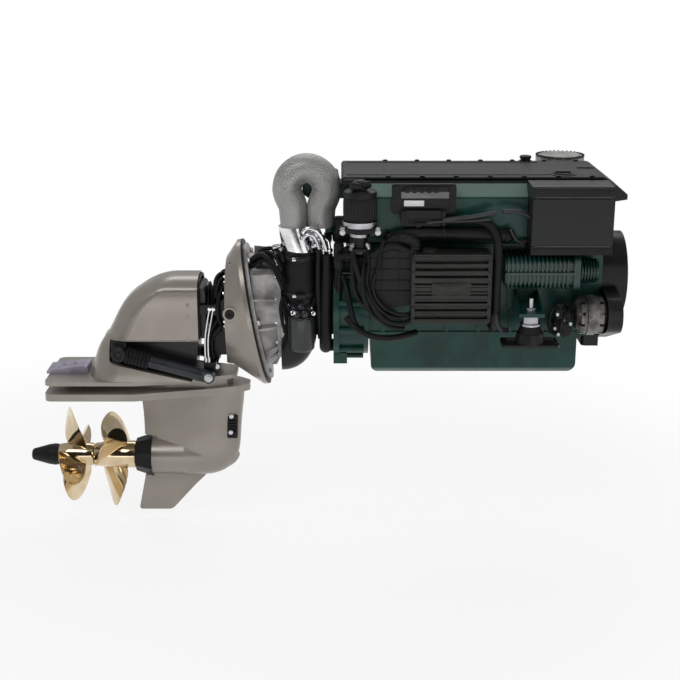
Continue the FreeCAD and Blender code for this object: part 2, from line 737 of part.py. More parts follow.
def blade(radius, root, pitch, chord, thickness, hand):
    """One propeller blade along +Z about the X axis: foil sections turned to the pitch at each radius."""
    wires = []
    for share, width, lean in ((0.0, 0.56, 0.0), (0.25, 0.84, 0.02), (0.5, 1.0, 0.06), (0.75, 0.96, 0.12),
                               (0.92, 0.7, 0.18), (1.0, 0.34, 0.22)):
        r = root + (radius - root) * share
        angle = math.atan2(pitch, 2 * math.pi * r)
        along = V(math.sin(angle), hand * math.cos(angle), 0)
        normal = V(-math.cos(angle), hand * math.sin(angle), 0)
        half = chord * width / 2
        thick = thickness * (1 - 0.75 * share)
        shift = along * (chord * lean * 0.5) + V(-radius * 0.10 * share, 0, 0)
        centre = V(0, 0, r) + shift
        points = [centre - along * half, centre - along * (half * 0.5) + normal * (thick * 0.45),
                  centre + along * (half * 0.2) + normal * (thick * 0.62), centre + along * half]
        back = [points[-1], centre + along * (half * 0.1) - normal * (thick * 0.25), points[0]]
        face = Part.BSplineCurve()
        face.interpolate(points)
        rear = Part.BSplineCurve()
        rear.interpolate(back)
        wires.append(Part.Wire([face.toShape(), rear.toShape()]))
    return loft(wires)


def propeller(aft_x, front_x, hub_radius, radius, count, first, hand, bore, chord):
    """A bronze propeller: a barrel hub and its blades."""
    length = front_x - aft_x
    hub = revolved([(0, bore), (0, hub_radius - 6), (length * 0.3, hub_radius), (length * 0.7, hub_radius),
                    (length, hub_radius - 4), (length, bore)], aft_x)
    middle = aft_x + length * 0.5
    blades = []
    for k in range(count):
        one = blade(radius, hub_radius - 8, propeller_pitch, chord, blade_thickness, hand)
        one.translate(V(middle, 0, 0))
        blades.append(turned(one, (0, 0, 0), (1, 0, 0), first + 360 / count * k))
    whole = fuse([hub] + blades)
    whole = whole.cut(rod((aft_x - 40, 0, 0), (1, 0, 0), bore, length + 80))
    whole.translate(V(0, 0, propeller_z))
    return whole


def front_propeller():
    """The forward propeller with its hollow shaft."""
    wheel = propeller(front_propeller_aft_x, collar_aft_x - gap, front_hub_radius, front_propeller_radius,
                      front_propeller_blades, front_propeller_first_blade, 1, outer_shaft_radius,
                      front_propeller_chord)
    shaft = ring((front_propeller_aft_x, 0, propeller_z), (1, 0, 0), outer_shaft_radius,
                 inner_shaft_radius + gap, torpedo_aft_x + 140 - front_propeller_aft_x)
    return fuse([wheel, shaft])


def rear_propeller():
    """The after propeller with its inner shaft."""
    wheel = propeller(rear_propeller_aft_x, front_propeller_aft_x - gap, rear_hub_radius,
                      rear_propeller_radius, rear_propeller_blades, rear_propeller_first_blade, -1,
                      inner_shaft_radius, rear_propeller_chord)
    shaft = rod((rear_propeller_aft_x - 14, 0, propeller_z), (1, 0, 0), inner_shaft_radius,
                torpedo_aft_x + 144 - rear_propeller_aft_x)
    return fuse([wheel, shaft])


def nose_cone():
    """The black cone nut that holds the after propeller."""
    length = nose_cone_length
    shares = [(0, 0), (0, 0.42), (0.05, 0.53), (0.3, 0.7), (0.62, 0.92), (0.85, 1), (1, 0.93), (1, 0)]
    cone = revolved([(length * x, nose_cone_radius * r) for x, r in shares], rear_propeller_aft_x - length)
    cone = cone.cut(rod((rear_propeller_aft_x - 14, 0, 0), (1, 0, 0), inner_shaft_radius, 20))
    cone.translate(V(0, 0, propeller_z))
    return cone


def along_trim(shape, start, aim):
    """Lays a shape built along +X at the origin from one trim pin towards the other."""
    direction = V(*aim) - V(*start)
    angle = math.degrees(math.atan2(direction.z, direction.x))
    copy = turned(shape, (0, 0, 0), (0, 1, 0), -angle)
    copy.translate(V(*start))
    return copy


trim_front = (trim_front_x, 0, trim_front_z)
trim_rear = (trim_rear_x, 0, trim_rear_z)


def trim_barrel(side):
    """The trim cylinder's barrel, hinged on the fork."""
    body = fuse([rod((0, 0, 0), (1, 0, 0), barrel_radius, barrel_length),
                 rod((0, -trim_eye_width / 2, 0), (0, 1, 0), trim_eye_radius, trim_eye_width)])
    tools = [rod((0, -50, 0), (0, 1, 0), trim_pin_radius + running, 100),
             rod((trim_eye_radius + 8, 0, 0), (1, 0, 0), barrel_bore, barrel_length)]
    for low, high in ((-60, -trim_eye_width / 2), (trim_eye_width / 2, 60)):
        tools.append(box((-40, trim_eye_radius + 5), (low, high), (-40, 40)))
    body = cut(body, *tools)
    body = along_trim(body, trim_front, trim_rear)
    body.translate(V(0, side * trim_y, 0))
    return body


def trim_rod(side):
    """The trim cylinder's bright rod with its eye, and the rubber gaiter clamped to it."""
    steel = fuse([rod((0, 0, 0), (1, 0, 0), trim_rod_radius, trim_rod_length),
                  rod((0, -trim_eye_width / 2, 0), (0, 1, 0), trim_eye_radius, trim_eye_width),
                  rod((12, 0, 0), (1, 0, 0), 14, 12)])
    steel = cut(steel, rod((0, -50, 0), (0, 1, 0), trim_pin_radius + running, 100))
    reach = math.hypot(trim_front_x - trim_rear_x, trim_front_z - trim_rear_z) - barrel_length - gap
    folds = []
    pitch = (reach - 24) / gaiter_folds
    for k in range(gaiter_folds):
        folds += [(24 + pitch * k, gaiter_outer - 3), (24 + pitch * (k + 0.5), gaiter_outer)]
    sleeve = revolved(folds + [(reach, gaiter_outer - 3), (reach, gaiter_inner), (27, gaiter_inner),
                               (27, trim_rod_radius), (24, trim_rod_radius)])
    parts = [along_trim(part, trim_rear, trim_front) for part in (steel, sleeve)]
    whole = Part.makeCompound(parts)
    whole.translate(V(0, side * trim_y, 0))
    return whole


def flywheel_housing():
    """The green housing round the flywheel, with its flange, bolt bosses and two feet."""
    x = flywheel_housing_aft_x
    shell = revolved([(0, shaft_tube_bore), (0, flywheel_flange_radius), (20, flywheel_flange_radius),
                      (20, flywheel_housing_radius), (block_aft_x - x, flywheel_housing_radius),
                      (block_aft_x - x, flywheel_housing_radius - 12), (14, flywheel_housing_radius - 12),
                      (14, shaft_tube_bore)], x)
    bosses = []
    for k in range(12):
        angle = math.radians(15 + 30 * k)
        place = (x, (flywheel_housing_radius + 6) * math.cos(angle), (flywheel_housing_radius + 6) * math.sin(angle))
        bosses.append(rod(place, (1, 0, 0), 11, block_aft_x - x))
    foot = box((x, x + 48), (-120, 120), (-flywheel_flange_radius + 8, -150))
    inner = rod((x + 14, 0, 0), (1, 0, 0), flywheel_housing_radius - 12, block_aft_x - x - 14)
    return fuse([shell] + [b.cut(inner) for b in bosses] + [foot.cut(inner)])


def engine_block():
    """The closed cylinder block with its front case; the crankshaft runs through it."""
    profile = [(-150, block_bottom_z), (-150, 250), (-120, 290), (-120, deck_z), (120, deck_z), (120, 290),
               (150, 250), (150, block_bottom_z)]
    body = plate(profile, 0, "yz", block_aft_x, block_front_x)
    case = plate([(-150, block_bottom_z), (-150, deck_z), (150, deck_z), (150, block_bottom_z)], 24, "yz",
                 block_front_x, front_case_x)
    flare = rod((block_aft_x, 0, 0), (1, 0, 0), flywheel_housing_radius, 16)
    ribs = []
    for k in range(7):
        x = block_aft_x + 60 + 110 * k
        for side in (-1, 1):
            low, high = sorted((side * 140, side * 156))
            ribs.append(box((x, x + 12), (low, high), (block_bottom_z, block_rib_top)))
    rails = [box((block_aft_x, block_front_x), (-158, 158), (block_bottom_z, block_bottom_z + 14))]
    bore = rod((block_aft_x - 1, 0, 0), (1, 0, 0), crank_radius + running, front_case_x - block_aft_x + 2)
    return cut(fuse([body, case, flare] + ribs + rails), bore)


def oil_pan():
    outside = plate([(pan_aft_x, block_bottom_z), (pan_aft_x, pan_bottom_z), (pan_front_x, pan_bottom_z),
                     (pan_front_x, block_bottom_z)], [0, 22, 30, 0], "xz", -pan_half_width, pan_half_width)
    inside = plate([(pan_aft_x + 5, block_bottom_z), (pan_aft_x + 5, pan_bottom_z + 5),
                    (pan_front_x - 5, pan_bottom_z + 5), (pan_front_x - 5, block_bottom_z)],
                   [0, 17, 25, 0], "xz", -pan_half_width + 5, pan_half_width - 5)
    lip = box((pan_aft_x - 8, pan_front_x + 8), (-158, 158), (block_bottom_z - 9, block_bottom_z))
    plug = bolt_head((pan_aft_x + 70, 0, pan_bottom_z), (0, 0, -1), 14, 8)
    return fuse([lip, outside, plug]).cut(inside)


def cylinder_head():
    """The closed head, with the coolant housing on its after end."""
    top = cover_top_z - cover_wall
    profile = [(-head_half_width, deck_z), (-head_half_width, 440), (-90, top), (90, top),
               (head_half_width, 440), (head_half_width, deck_z)]
    head = plate(profile, [0, 12, 12, 12, 12, 0], "yz", block_aft_x, block_front_x - 30)
    low, top = coolant_housing_z
    aft = coolant_housing_aft_x
    side = [(block_aft_x, low), (block_aft_x, top - 36), (cover_aft_x - 4, top - 36), (cover_aft_x - 12, top),
            (aft + 20, top), (aft, top - 24), (aft, low + 16), (aft + 22, low)]
    housing = plate(side, [0, 0, 4, 10, 14, 14, 10, 14], "xz", *coolant_housing_y)
    return fuse([head, housing])


def intake_manifold():
    """The green inlet manifold along the starboard side of the head, with a bevelled top."""
    face = manifold_face_y
    profile = [(-head_half_width, 300), (-head_half_width, cover_skirt_z), (-186, cover_skirt_z),
               (face, manifold_bevel_z), (face, manifold_bottom_z + 24), (face + 24, manifold_bottom_z),
               (-150, manifold_bottom_z)]
    return plate(profile, [0, 0, 4, 6, 10, 10, 0], "yz", manifold_aft_x, manifold_front_x)


def cover_plan(inset):
    """The cover's outline from above, narrowed at the nose, as a tall block."""
    half, nose = cover_half_width - inset, cover_nose_half_width - inset
    front = cover_front_x - inset
    shoulder = cover_front_x - cover_nose_length
    points = [(cover_aft_x, -half), (cover_aft_x, half), (shoulder, half), (front, nose), (front, -nose),
              (shoulder, -half)]
    return plate(points, [0, 0, 30, 20, 20, 30], "xy", cover_top_z - 200, cover_top_z + 20)


def top_cover():
    """The long black cover over the head, a shell open below, with its sloped front."""
    side = [(cover_aft_x, 440), (cover_aft_x, cover_top_z), (cover_front_x - 92, cover_top_z),
            (cover_front_x, 412), (cover_front_x, 396), (block_front_x + 6, 396), (block_front_x + 6, 440)]
    body = plate(side, [4, 14, 40, 12, 4, 0, 0], "xz", -cover_half_width, cover_half_width)
    arch = [(-cover_half_width, 380), (-cover_half_width, cover_top_z - 16), (-cover_half_width + 14, cover_top_z),
            (cover_half_width - 14, cover_top_z), (cover_half_width, cover_top_z - 16), (cover_half_width, 380)]
    body = body.common(plate(arch, [0, 8, 10, 10, 8, 0], "yz", cover_aft_x, cover_front_x))
    body = body.common(cover_plan(0))
    wall = cover_wall
    hollow_side = [(cover_aft_x + wall, 300), (cover_aft_x + wall, cover_top_z - wall),
                   (cover_front_x - 96, cover_top_z - wall), (cover_front_x - wall - 2, 408),
                   (cover_front_x - wall - 2, 300)]
    hollow = plate(hollow_side, [0, 10, 36, 8, 0], "xz", -cover_half_width + wall, cover_half_width - wall)
    hollow = hollow.common(cover_plan(wall))
    low_side = box((cover_aft_x - 1, block_front_x), (-300, 300), (300, cover_skirt_z))
    filler = rod((filler_x, filler_y, cover_top_z - 30), (0, 0, 1), filler_radius + gap, 60)
    ring_seat = ring((filler_x, filler_y, cover_top_z - wall), (0, 0, 1), filler_radius + 12,
                     filler_radius + gap, wall + 2)
    recess = box((1129, 1195), (-22, 22), (cover_top_z - 3, cover_top_z + 10))
    shell = cut(body, hollow, low_side)
    return cut(fuse([shell, ring_seat]), filler, recess)


def oil_filler_cap():
    """The round filler cap, turned a quarter to open it."""
    cap = rod((filler_x, filler_y, cover_top_z - cover_wall), (0, 0, 1), filler_radius, cover_wall + filler_height)
    reach = filler_radius - 8
    grip = box((filler_x - reach, filler_x + reach), (filler_y - 5, filler_y + 5),
               (cover_top_z + filler_height - 1, cover_top_z + filler_height + 5))
    return fuse([cap, grip])


def control_unit():
    """The engine's control unit with its corner lugs and its plug, on four pads."""
    x, z = unit_x, unit_z
    back = manifold_face_y - 5
    body = plate([(x[0], z[0]), (x[0], z[1]), (x[1], z[1]), (x[1], z[0])], 10, "xz", unit_face_y + 8, back)
    raised = plate([(x[0] + 42, z[0] + 22), (x[0] + 42, z[1] - 8), (x[1] - 28, z[1] - 8), (x[1] - 28, z[0] + 22)],
                   6, "xz", unit_face_y, unit_face_y + 9)
    pads = []
    for px in (x[0] + 14, x[1] - 14):
        pads.append(rod((px, manifold_face_y, z[0] + 20), (0, -1, 0), 9, 6))
        pads.append(rod((px, back, z[1] - 14), (0, -1, 0), 9, 22))
    plug = plate([(x[0] + 40, z[0] - 36), (x[0] + 40, z[0] + 16), (x[0] + 162, z[0] + 16), (x[0] + 162, z[0] - 36)],
                 8, "xz", unit_face_y - 14, unit_face_y + 16)
    return fuse([body, raised, plug] + pads)


def charge_cooler():
    """The black finned charge cooler, with a bare raised panel among the fins."""
    x, z = cooler_x, cooler_z
    face = cooler_face_y
    body = plate([(x[0], z[0]), (x[0], z[1]), (x[1], z[1]), (x[1], z[0])], 12, "xz", face, face + cooler_depth)
    plinth = box((x[0] + 30, x[1] - 30), (face + cooler_depth, -block_half_width), (z[0] + 10, z[0] + 110))
    pitch = (z[1] - z[0] - 20) / cooler_slots
    slots = []
    for k in range(cooler_slots):
        low = z[0] + 10 + pitch * k + pitch * 0.22
        slots.append(plate([(x[0] + 10, low), (x[0] + 10, low + pitch * 0.6), (x[1] - 10, low + pitch * 0.6),
                            (x[1] - 10, low)], 5, "xz", face - 1, face + 16))
    middle = (x[0] + x[1]) / 2
    panel = box((middle - 62, middle + 62), (face - 1, face + 30), (z[0] + 100, z[0] + 140))
    inlet = rod((x[0] + 60, face + 50, z[1] - 2), (0, 0, 1), 26, 10)
    tools = [slot.cut(panel) for slot in slots]
    return cut(fuse([body, plinth, inlet]), *tools)


def intake_ducts():
    """The black air box aft of the cooler and the arched hose that leads forward from it."""
    x, z = duct_x, duct_z
    low, high = duct_y
    boxy = plate([(x[0], z[0] + 24), (x[0], z[1] - 30), (x[0] + 34, z[1]), (x[1], z[1]), (x[1], z[0]),
                  (x[0] + 30, z[0])], [16, 16, 16, 0, 0, 16], "xz", low, high)
    lower = plate([(x[0] + 24, z[0] - 60), (x[0] + 24, z[0]), (x[1], z[0]), (x[1], z[0] - 40)],
                  [20, 0, 0, 10], "xz", low + 8, high)
    y = manifold_face_y - arch_radius - 1.5
    arch = hose([(470, y, z[1]), (470, y, z[1] + 26), (520, y, z[1] + 44), (590, y, z[1] + 50),
                 (660, y, z[1] + 48), (740, y, z[1] + 46), (800, y, z[1] + 44), (848, y - 2, z[1] + 42),
                 (868, y + 6, z[1] + 40), (868, manifold_face_y, z[1] + 40)], arch_radius)
    return Part.makeCompound([fuse([boxy, lower]), arch])


def supercharger():
    """The ribbed supercharger: rounded casing, ribs round it, a middle flange and a finned round end."""
    x, z = supercharger_x, supercharger_z
    face = supercharger_face_y
    back = -block_half_width
    core = plate([(face + 8, z[0] + 8), (face + 8, z[1] - 8), (back, z[1] - 8), (back, z[0] + 8)],
                 [20, 20, 0, 0], "yz", x[0], x[1])
    pieces = [core]
    middle = (z[0] + z[1]) / 2
    pitch = (x[1] - x[0] - 14) / supercharger_ribs
    for k in range(supercharger_ribs):
        low = x[0] + 6 + pitch * k
        pieces.append(plate([(face, z[0]), (face, z[1]), (back, z[1]), (back, z[0])], [22, 22, 0, 0],
                            "yz", low, low + pitch * 0.45))
    pieces.append(box((x[0], x[1]), (face - 6, back), (middle - 4, middle + 4)))
    pieces.append(plate([(face - 4, z[0] - 6), (face - 4, z[1] + 6), (back, z[1] + 6), (back, z[0] - 6)],
                        [26, 26, 0, 0], "yz", x[1], x[1] + 22))
    centre = (face + back) / 2 - 6
    end = rod((x[1] + 22, centre, middle), (1, 0, 0), 34, 66)
    pieces.append(end)
    for k in range(6):
        pieces.append(rod((x[1] + 27 + 10 * k, centre, middle), (1, 0, 0), 46 - k, 5))
    return fuse(pieces)


def filter_box():
    """The black intake filter box high on the starboard bow quarter, with its bolted panel."""
    x, z = filter_box_x, filter_box_z
    low, high = filter_box_y
    body = plate([(low + 6, z[0]), (low + 6, z[1]), (high, z[1]), (high, z[0])], [10, 14, 6, 6], "yz", x[0], x[1])
    bracket = box((x[0] + 30, block_front_x - 20), (high, -head_half_width), (z[0] + 60, z[1] - 60))
    rails = [box((x[0], x[1]), (low, low + 8), (z[0] + 2, z[0] + 30)),
             box((x[0], x[1]), (low, low + 8), (z[1] - 34, z[1] - 8))]
    panel = plate([(x[0] + 1, z[0] + 34), (x[0] + 1, z[1] - 38), (x[1] - 1, z[1] - 38), (x[1] - 1, z[0] + 34)],
                  6, "xz", low - 3, low + 6)
    return Part.makeCompound([fuse([body, bracket] + rails), panel])


def belt_wire(circles, extra, x):
    """The tight loop round circles (y, z, radius), listed anticlockwise, each grown by extra."""
    touch = []
    for i, (y1, z1, r1) in enumerate(circles):
        y2, z2, r2 = circles[(i + 1) % len(circles)]
        way = V(y2 - y1, z2 - z1, 0)
        lean = (r1 - r2) / way.Length
        way.normalize()
        right = V(way.y, -way.x, 0)
        normal = way * lean + right * math.sqrt(1 - lean * lean)
        touch.append((V(y1, z1, 0) + normal * (r1 + extra), V(y2, z2, 0) + normal * (r2 + extra)))
    edges = []
    for i in range(len(circles)):
        start, end = touch[i]
        following = touch[(i + 1) % len(circles)][0]
        y2, z2, r2 = circles[(i + 1) % len(circles)]
        centre = V(y2, z2, 0)
        a = end - centre
        b = following - centre
        middle = (a + b)
        turn = math.atan2(a.x * b.y - a.y * b.x, a.dot(b))
        if turn < 0:
            middle = middle * -1
        middle.normalize()
        middle = centre + middle * (r2 + extra)
        edges.append(Part.LineSegment(V(x, start.x, start.y), V(x, end.x, end.y)).toShape())
        edges.append(Part.Arc(V(x, end.x, end.y), V(x, middle.x, middle.y),
                              V(x, following.x, following.y)).toShape())
    return Part.Wire(edges)


def drive_belt():
    circles = [(0, 0, crank_pulley_radius), (alternator_y, alternator_z, alternator_pulley_radius)]
    outside = Part.Face(belt_wire(circles, belt_thickness, pulley_x[0] + belt_inset))
    inside = Part.Face(belt_wire(circles, gap, pulley_x[0] + belt_inset))
    return outside.cut(inside).extrude(V(pulley_x[1] - pulley_x[0] - 2 * belt_inset, 0, 0))


def crank_pulley():
    """The pulley on the crankshaft's nose, grooved for the belt's edges, with its bolt."""
    x = pulley_x
    rim = crank_pulley_radius
    web = revolved([(0, crank_radius), (0, rim + 5), (2.6, rim + 5), (2.6, rim), (x[1] - x[0] - 2.6, rim),
                    (x[1] - x[0] - 2.6, rim + 5), (x[1] - x[0], rim + 5), (x[1] - x[0], rim - 14),
                    (16, rim - 14), (16, crank_radius)], x[0])
    return web


def crankshaft():
    """The crankshaft with the flywheel and its ring gear, and the drive shaft that leads aft."""
    shaft = rod((block_aft_x - 40, 0, 0), (1, 0, 0), crank_radius, pulley_x[0] + 24 - block_aft_x + 40)
    wheel = revolved([(0, 0), (0, 60), (8, 70), (8, flywheel_radius - 20), (0, flywheel_radius - 14),
                      (0, flywheel_radius), (38, flywheel_radius), (38, 0)], block_aft_x - 78)
    drive = rod((-30, 0, 0), (1, 0, 0), 20, block_aft_x - 78 + 30)
    hub = rod((40, 0, 0), (1, 0, 0), shaft_tube_bore - gap, 26)
    return fuse([shaft, wheel, drive, hub])


def alternator():
    """The alternator's bright slotted casing and its foot on the block."""
    x0, x1 = alternator_x
    length = x1 - x0
    radius = alternator_radius
    casing = revolved([(0, alternator_shaft_radius + running), (0, radius - 22), (14, radius - 4), (34, radius - 4),
                       (36, radius), (62, radius), (64, radius - 4), (length - 14, radius - 4),
                       (length, radius - 22), (length, alternator_shaft_radius + running)], x0)
    slots = []
    for low in (x0 + 6, x1 - 28):
        for k in range(alternator_slots):
            slot = box((low, low + 20), (-5, 5), (radius - 22, radius + 2))
            slots.append(turned(slot, (0, 0, 0), (1, 0, 0), 360 / alternator_slots * k))
    casing = casing.cut(slots)
    casing.translate(V(0, alternator_y, alternator_z))
    foot = box((x0 + 20, x1 - 24), (alternator_y + radius - 18, -block_half_width), (alternator_z - 40, alternator_z + 10))
    return fuse([casing, foot.cut(rod((x0, alternator_y, alternator_z), (1, 0, 0), radius - 14, length))])


def alternator_pulley():
    """The alternator's grooved pulley on its rotor shaft."""
    x = pulley_x
    rim = alternator_pulley_radius
    wheel = revolved([(0, 0), (0, rim + 5), (2.6, rim + 5), (2.6, rim), (x[1] - x[0] - 2.6, rim),
                      (x[1] - x[0] - 2.6, rim + 5), (x[1] - x[0], rim + 5), (x[1] - x[0], 12), (x[1] - x[0] + 6, 12),
                      (x[1] - x[0] + 6, 0)], x[0])
    shaft = rod((alternator_x[0] + 4, 0, 0), (1, 0, 0), alternator_shaft_radius, x[0] - alternator_x[0])
    whole = fuse([wheel, shaft])
    whole.translate(V(0, alternator_y, alternator_z))
    return whole


def belt_guard():
    """The black guard over the front pulleys: a deep round part, a lower shelf and an under tray."""
    def shells(inset):
        deep = rod((front_case_x - 1, 0, guard_centre_z), (1, 0, 0), guard_radius - inset,
                   guard_front_x - front_case_x - inset + 1)
        low_circles = [(0, 0, crank_pulley_radius + 30 - inset), (alternator_y, alternator_z, 62 - inset)]
        low = Part.Face(belt_wire(low_circles, 0, front_case_x - 1))
        return fuse([deep, low.extrude(V(guard_low_front_x - front_case_x - inset + 1, 0, 0))])
    shell = shells(0).cut(shells(guard_wall))
    keep = box((front_case_x, guard_front_x + 10), (-400, 400), (-400, 400))
    half = block_half_width - 20
    tray = [(front_case_x - guard_tray_length, -half), (front_case_x - guard_tray_length, half),
            (front_case_x + guard_wall, half), (front_case_x + guard_wall, -half)]
    under = plate(tray, [16, 16, 0, 0], "xy", guard_tray_bottom_z, block_bottom_z)
    return fuse([shell.common(keep), under.cut(shells(guard_wall).common(keep))])


def mount_bracket(side):
    """One green engine bracket: a wall plate on the block, an arm and two gussets."""
    inner = side * block_half_width
    tip = side * (mount_y + 34)
    low, high = sorted((inner, tip))
    arm = box((mount_x - 42, mount_x + 42), (low, high), (mount_arm_z, mount_arm_z + mount_arm_thickness))
    wall_low, wall_high = sorted((inner, side * (block_half_width + 14)))
    wall = box((mount_x - 60, mount_x + 60), (wall_low, wall_high), (block_rib_top + 4, 100))
    web = [(inner, block_rib_top + 4), (inner, 96), (side * (block_half_width + 60), mount_arm_z + 40),
           (tip, mount_arm_z + mount_arm_thickness), (tip, mount_arm_z), (side * (mount_y - 60), mount_arm_z)]
    gussets = [plate(web, 4, "yz", x, x + 8) for x in (mount_x - 42, mount_x + 34)]
    hole = rod((mount_x, side * mount_y, mount_arm_z - 5), (0, 0, 1), mount_stud_radius + 1, 40)
    return cut(fuse([arm, wall] + gussets), hole)


def mount_studs():
    """The two mounting studs, each with a large lower nut and an upper nut."""
    studs = []
    for side in (-1, 1):
        place = (mount_x, side * mount_y)
        stud = rod((*place, mount_base_z + 70), (0, 0, 1), mount_stud_radius, 102 - (mount_base_z + 70))
        nut = bolt_head((*place, mount_arm_z - 28), (0, 0, 1), 27, 28)
        lock = bolt_head((*place, mount_arm_z + mount_arm_thickness), (0, 0, 1), 16, 13)
        washer = rod((*place, mount_base_z + 68), (0, 0, 1), 34, 6)
        studs.append(fuse([stud, nut, lock, washer]))
    return Part.makeCompound(studs)


def mount_rubbers():
    rubbers = []
    for side in (-1, 1):
        cone = Part.makeCone(mount_cup_radius - 3, 32, 26, V(mount_x, side * mount_y, mount_base_z + 42), V(0, 0, 1))
        rubbers.append(cone)
    return Part.makeCompound(rubbers)


def mount_foot(side):
    """One black mount foot: a drilled base with raised ends and a round cup."""
    z = mount_base_z
    x0, x1 = mount_x - mount_foot_length / 2, mount_x + mount_foot_length / 2
    y = side * mount_y
    base = plate([(x0, y - mount_foot_width / 2), (x0, y + mount_foot_width / 2), (x1, y + mount_foot_width / 2),
                  (x1, y - mount_foot_width / 2)], 14, "xy", z, z + 9)
    cup = Part.makeCone(mount_cup_radius + 6, mount_cup_radius, 33, V(mount_x, y, z + 9), V(0, 0, 1))
    ribs = box((x0 + 16, x1 - 16), (y - 5, y + 5), (z + 8, z + 22))
    holes = []
    for sx in (-1, 1):
        for sy in (-1, 1):
            holes.append(rod((mount_x + sx * mount_hole_spacing_x / 2, y + sy * mount_hole_spacing_y / 2, z - 1),
                             (0, 0, 1), mount_hole_radius, 30))
    return cut(fuse([base, cup, ribs]), *holes)


def exhaust_riser():
    """The lagged exhaust riser: a fat pipe bent into a tall loop whose feet stand against each other."""
    top = riser_top_z
    middle = sum(riser_x) / 2
    bend = (riser_x[1] - riser_x[0]) / 2
    halves = []
    for leg, foot in zip(riser_x, riser_foot_x):
        side = 1 if leg > middle else -1
        start, end = V(leg, riser_y, top), V(middle, riser_y, top + bend)
        between = V(middle + side * bend * math.sqrt(0.5), riser_y, top + bend * math.sqrt(0.5))
        circle = Part.Wire(Part.Circle(start, V(0, 0, 1), riser_radius).toShape())
        crown = Part.Wire(Part.Arc(start, between, end).toShape()).makePipeShell([circle], True, True)
        down = hose([(foot, riser_y, riser_bottom_z), (foot, riser_y, top - 78), (leg, riser_y, top - 26),
                     (leg, riser_y, top)], riser_radius)
        halves += [crown, down]
    return fuse(halves)


def exhaust_pipes():
    """Polished steel: the mixer below the riser, the crossover to port and the two cooling pipes."""
    aft, fore = riser_foot_x
    mixer = loft([Part.Wire(Part.Circle(V(aft, riser_y, riser_bottom_z), V(0, 0, 1), riser_radius + 3).toShape()),
                  Part.Wire(Part.Circle(V(aft + 8, riser_y, 270), V(0, 0, 1), 57).toShape()),
                  Part.Wire(Part.Circle(V(exhaust_hose_x, riser_y, exhaust_hose_z[1]), V(0, 0, 1),
                                        exhaust_hose_radius - 5).toShape())])
    cross = hose([(fore, riser_y, riser_bottom_z), (fore, riser_y, 262), (fore, riser_y + 40, 244),
                  (fore, riser_y + 120, 242), (fore, 80, 242), (fore + 20, 150, 238), (turbo_x - 50, turbo_y, turbo_z),
                  (turbo_x - 30, turbo_y, turbo_z)], 38)
    cross = fuse([cross, rod((fore, riser_y, riser_bottom_z - 12), (0, 0, 1), riser_radius + 3, 12)]).cut(mixer)
    small = []
    for k in (0, 1):
        y = riser_y - 58 + 6 * k
        x = coolant_hose_x - 10 + 20 * k
        small.append(hose([(214 + 6 * k, y, 244 + 24 * k), (228, y - 6, 250 + 20 * k),
                           (x - 6, coolant_hose_y, 252 + 18 * k), (x, coolant_hose_y, 238),
                           (x, coolant_hose_y, coolant_hose_top)], 7).cut([mixer, cross]))
    return Part.makeCompound([mixer, cross] + small)


def exhaust_clamps():
    """Band clamps round the exhaust hose's two ends."""
    clamps = []
    for z in (exhaust_hose_z[0] + 10, exhaust_hose_z[1] - 26):
        band = ring((exhaust_hose_x, riser_y, z), (0, 0, 1), exhaust_hose_radius + 2.5, exhaust_hose_radius, 14)
        screw = box((exhaust_hose_x - 16, exhaust_hose_x + 16), (riser_y - exhaust_hose_radius - 10,
                    riser_y - exhaust_hose_radius - 1), (z + 1, z + 13))
        clamps.append(fuse([band, screw.cut(rod((exhaust_hose_x, riser_y, z), (0, 0, 1), exhaust_hose_radius, 20))]))
    return Part.makeCompound(clamps)


def exhaust_hose():
    low, high = exhaust_hose_z
    return ring((exhaust_hose_x, riser_y, low), (0, 0, 1), exhaust_hose_radius,
                exhaust_hose_radius - exhaust_hose_wall, high - low)


def exhaust_outlet():
    """The dark outlet elbow below the hose, turned aft onto the bell housing's flange."""
    neck = loft([Part.Wire(Part.Circle(V(exhaust_hose_x, riser_y, exhaust_hose_z[0]), V(0, 0, 1),
                                       exhaust_hose_radius - 3).toShape()),
                 Part.Wire(Part.Circle(V(outlet_x, outlet_y, -3), V(0, 0, 1), outlet_radius).toShape())])
    elbow = hose([(outlet_x, outlet_y, -3), (outlet_x, outlet_y, -90), (outlet_x - 32, outlet_y + 16, -150),
                  (bell_front_x - 44, outlet_y + 58, -172)], outlet_radius)
    trim = box((0, bell_front_x), (-400, 400), (-400, 400))
    return fuse([neck, elbow]).cut(trim)


def coolant_hose():
    """The large black raw-water hose that hangs beside the exhaust and turns inboard below."""
    x, y = coolant_hose_x, coolant_hose_y
    return hose([(x, y, coolant_hose_top), (x, y, 150), (x - 2, y - 2, 60), (x - 4, y - 2, -20),
                 (x - 4, y + 4, -84), (x - 4, y + 30, -124), (x - 4, y + 66, -134), (x + 6, y + 84, -134),
                 (flywheel_housing_aft_x, y + 84, -134)], coolant_hose_radius)


def fuel_filter():
    """The fuel filter's black canister with its cap and drain, and its bright bracket."""
    x, y, r = fuel_filter_x, fuel_filter_y, fuel_filter_radius
    can = rod((x, y, 334), (0, 0, 1), r - 4, 112)
    lid = rod((x, y, 440), (0, 0, 1), r, 12)
    cap = rod((x, y, 452), (0, 0, 1), 22, 34)
    flutes = []
    for k in range(18):
        angle = math.radians(20 * k)
        flutes.append(rod((x + (r - 4) * math.cos(angle), y + (r - 4) * math.sin(angle), 352), (0, 0, 1), 3.2, 88))
    canister = fuse([can, lid, cap] + flutes)
    keep_off = box((x - 90, x + 90), (manifold_face_y, 0), (200, 500))
    bar = box((x - 68, x + 58), (y - 34, manifold_face_y), (318, 334))
    drain = rod((x, y, 266), (0, 0, 1), 24, 52)
    base = rod((x, y, 256), (0, 0, 1), 38, 10)
    return Part.makeCompound([canister.cut(keep_off), fuse([bar, drain, base]).cut(keep_off)])


